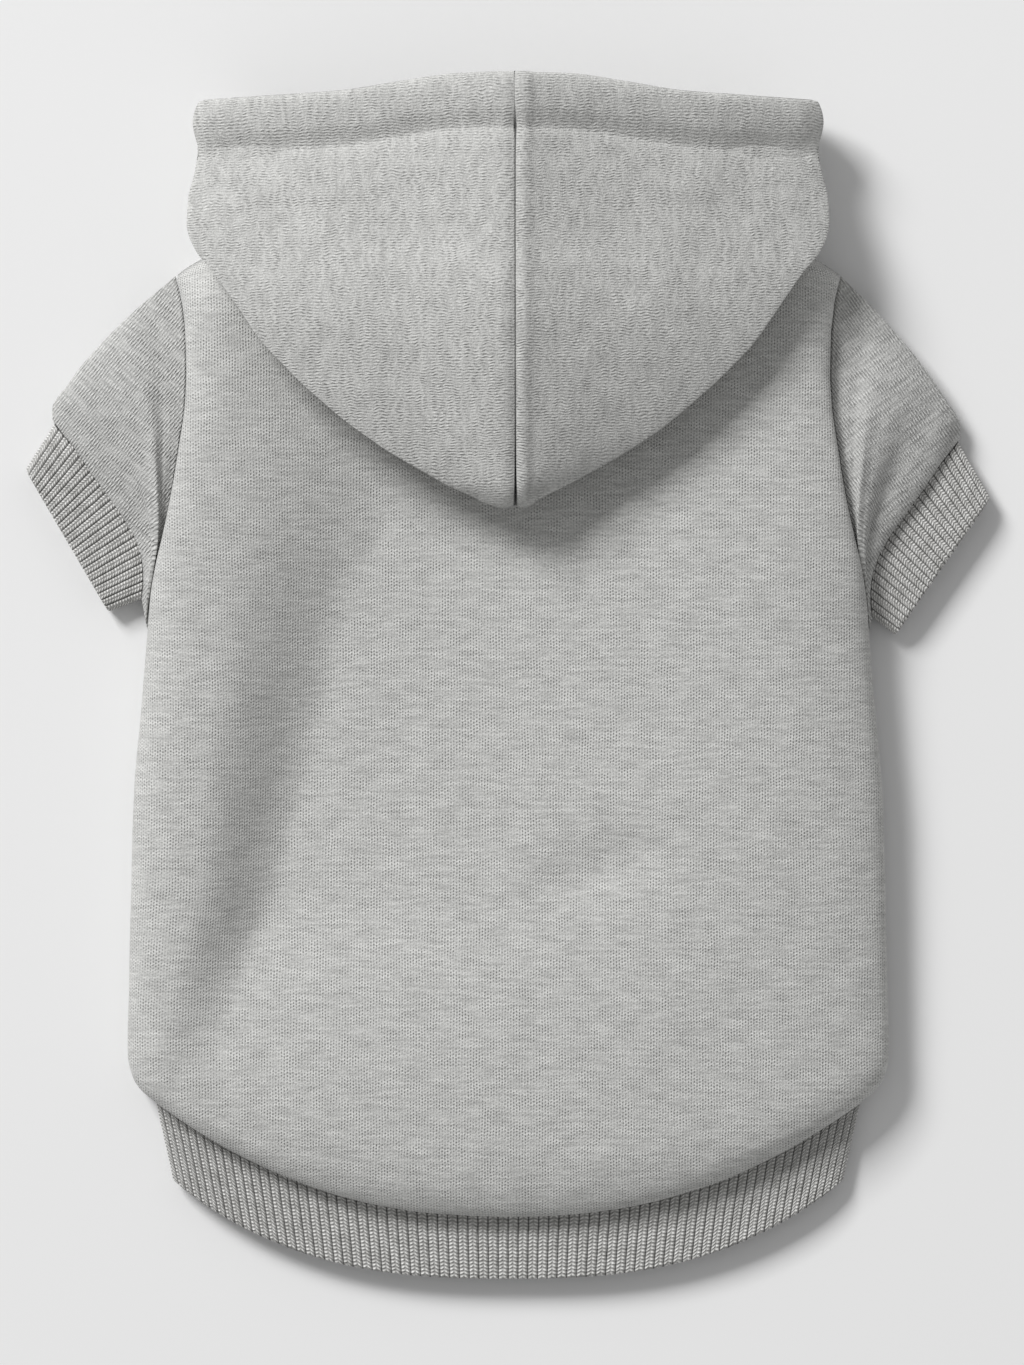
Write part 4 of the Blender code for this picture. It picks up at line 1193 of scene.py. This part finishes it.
def rib_knit(name, light, dark, pitch, course, relief, seed):
    """Rib knit: each rib is one wale, its legs meeting in the middle, with painted shade in the groove on
    each side.
    """
    def build(tree):
        work = partial(calculate, tree)
        grain, place = knit_place(tree, ((400.0, 400.0, 0.0003, 0.0003),), seed)
        strand, leg, share = yarn_legs(tree, place, pitch, course, -0.55, 0.5)
        nap = blotches(tree, grain, (1800.0, 1800.0), 2.0, seed + 1.0).outputs[0]
        stitch = work("MULTIPLY", strand, work("MULTIPLY_ADD", leg, 0.8, 0.2))
        fuzz = work("SUBTRACT", nap, 0.5)
        height = work("MULTIPLY", work("MULTIPLY_ADD", fuzz, 0.6, stitch), relief)
        mottle = blotches(tree, grain, (160.0, 240.0), 2.0, seed + 2.0)
        fleck = blotches(tree, grain, (900.0, 700.0), 2.0, seed + 3.0)
        # Painted shade in the grooves between the ribs, and painted light and shade on the stitches: lighter
        # on the raised strands, darker between them.
        painted_groove_shade = remap(tree, share, 0.76, 1.0, 1.0, 0.28)
        shade = work("MULTIPLY", work("MULTIPLY_ADD", stitch, 0.75, 0.52), painted_groove_shade)
        return marled(tree, ((mottle, 1.4), (fleck, 1.4))), shade, height

    return cloth_material(name, light, dark, build)


# Dressing the frame.


def dress(piece, node, material):
    """The piece takes the node's place and its finish."""
    piece.data.materials.clear()
    piece.data.materials.append(material)
    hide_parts(node)
    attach(piece, "root")


back_low, back_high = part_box("back_panel")
PLACE = Matrix.Translation(((back_low.x + back_high.x) / 2.0, back_high.y, 0.0))

BODY_LIGHT, BODY_DARK = (0.632, 0.632, 0.615), (0.405, 0.405, 0.394)
# The sleeves' marl is the body's made about five per cent darker: painted shade.
SLEEVE_LIGHT, SLEEVE_DARK = (0.60, 0.60, 0.585), (0.385, 0.385, 0.375)
HOOD_WANDER = ((60.0, 60.0, 0.0030, 0.0040), (430.0, 90.0, 0.0, 0.0075), (120.0, 280.0, 0.0020, 0.0))
RIB_LIGHT, RIB_DARK = (0.86, 0.855, 0.835), (0.54, 0.535, 0.515)

body_knit = fleece("marl_back", BODY_LIGHT, BODY_DARK, 0.0014, 0.5, 0.00038, 1.0, painted_pit_shade=0.8)
belly_knit = fleece("marl_belly", BODY_LIGHT, BODY_DARK, 0.0015, 0.5, 0.00038, 2.0, painted_pit_shade=0.8)
dress(make_back(), "back_panel", body_knit)
dress(make_belly(), "belly_panel", belly_knit)
hem_knit = rib_knit("rib_hem", RIB_LIGHT, RIB_DARK, HEM_RIB_PITCH, 0.0015, 0.00055, 3.0)
dress(make_hem(), "hem_rib", hem_knit)
for row in SLEEVES:
    seed = 5.0 + row[1]
    sleeve_knit = fleece(
        "marl_sleeve_" + row[0], SLEEVE_LIGHT, SLEEVE_DARK, 0.0030, 0.9, 0.0005, seed, painted_pit_shade=0.9, rows=1.0,
    )
    cuff_knit = rib_knit(
        "rib_cuff_" + row[0], RIB_LIGHT, RIB_DARK, CUFF_RIB_PITCH, 0.0013, 0.00045, seed + 8.0,
    )
    dress(make_sleeve(row), "sleeve_" + row[0], sleeve_knit)
    dress(make_cuff(row), "cuff_" + row[0], cuff_knit)
for name, side in (("left", -1), ("right", 1)):
    hood_knit = fleece(
        "marl_hood_" + name, BODY_LIGHT, BODY_DARK, 0.0035, 0.94, 0.0004, 20.0 + side,
        painted_pit_shade=0.6, rows=0.6, wander=HOOD_WANDER, seam=True,
    )
    piece = make_hood("hood_cloth_" + name, side)
    dress(piece, "hood_" + name, hood_knit)


# Stage, light and camera.


WINDOW_PLACE = Vector((-4.75, 5.46, 5.35))
WINDOW_SIZE = 3.1
WINDOW_POWER = 765.0
ROOM_LIGHT = 0.35
PHOTO_LONG_SIDE = 0.5733
CAMERA_HEIGHT = 4.8
CAMERA_PLACE = 0.0017, -0.0019, CAMERA_HEIGHT + 0.015
SENSOR_WIDTH = 36.0


def stand(name, data, place):
    """An object of its own for a light or camera, at its place."""
    obj = bpy.data.objects.new(name, data)
    obj.location = place
    bpy.context.collection.objects.link(obj)
    return obj


bpy.ops.mesh.primitive_plane_add(size=8.0)
floor = bpy.context.object
floor.name = "floor"
paper = {"Base_Color": (0.88, 0.88, 0.88, 1.0), "Roughness": 0.9, "Specular_IOR_Level": 0.2}
floor.data.materials.append(plain_material("pale_paper", **paper)[0])

world = bpy.data.worlds.new("studio")
world.use_nodes = True
background = world.node_tree.nodes["Background"]
background.inputs[0].default_value = (1.0, 1.0, 1.0, 1.0)
background.inputs[1].default_value = ROOM_LIGHT
bpy.context.scene.world = world
bpy.context.scene.view_settings.view_transform = "Standard"

window = bpy.data.lights.new("window", "AREA")
window.shape = "SQUARE"
window.size = WINDOW_SIZE
window.energy = WINDOW_POWER
stand("window", window, WINDOW_PLACE).rotation_euler = (-WINDOW_PLACE).to_track_quat("-Z", "Y").to_euler()

camera_data = bpy.data.cameras.new("overhead")
camera_data.sensor_width = SENSOR_WIDTH
camera_data.lens = SENSOR_WIDTH * CAMERA_HEIGHT / PHOTO_LONG_SIDE
camera_data.clip_end = 50.0
bpy.context.scene.camera = stand("overhead", camera_data, CAMERA_PLACE)
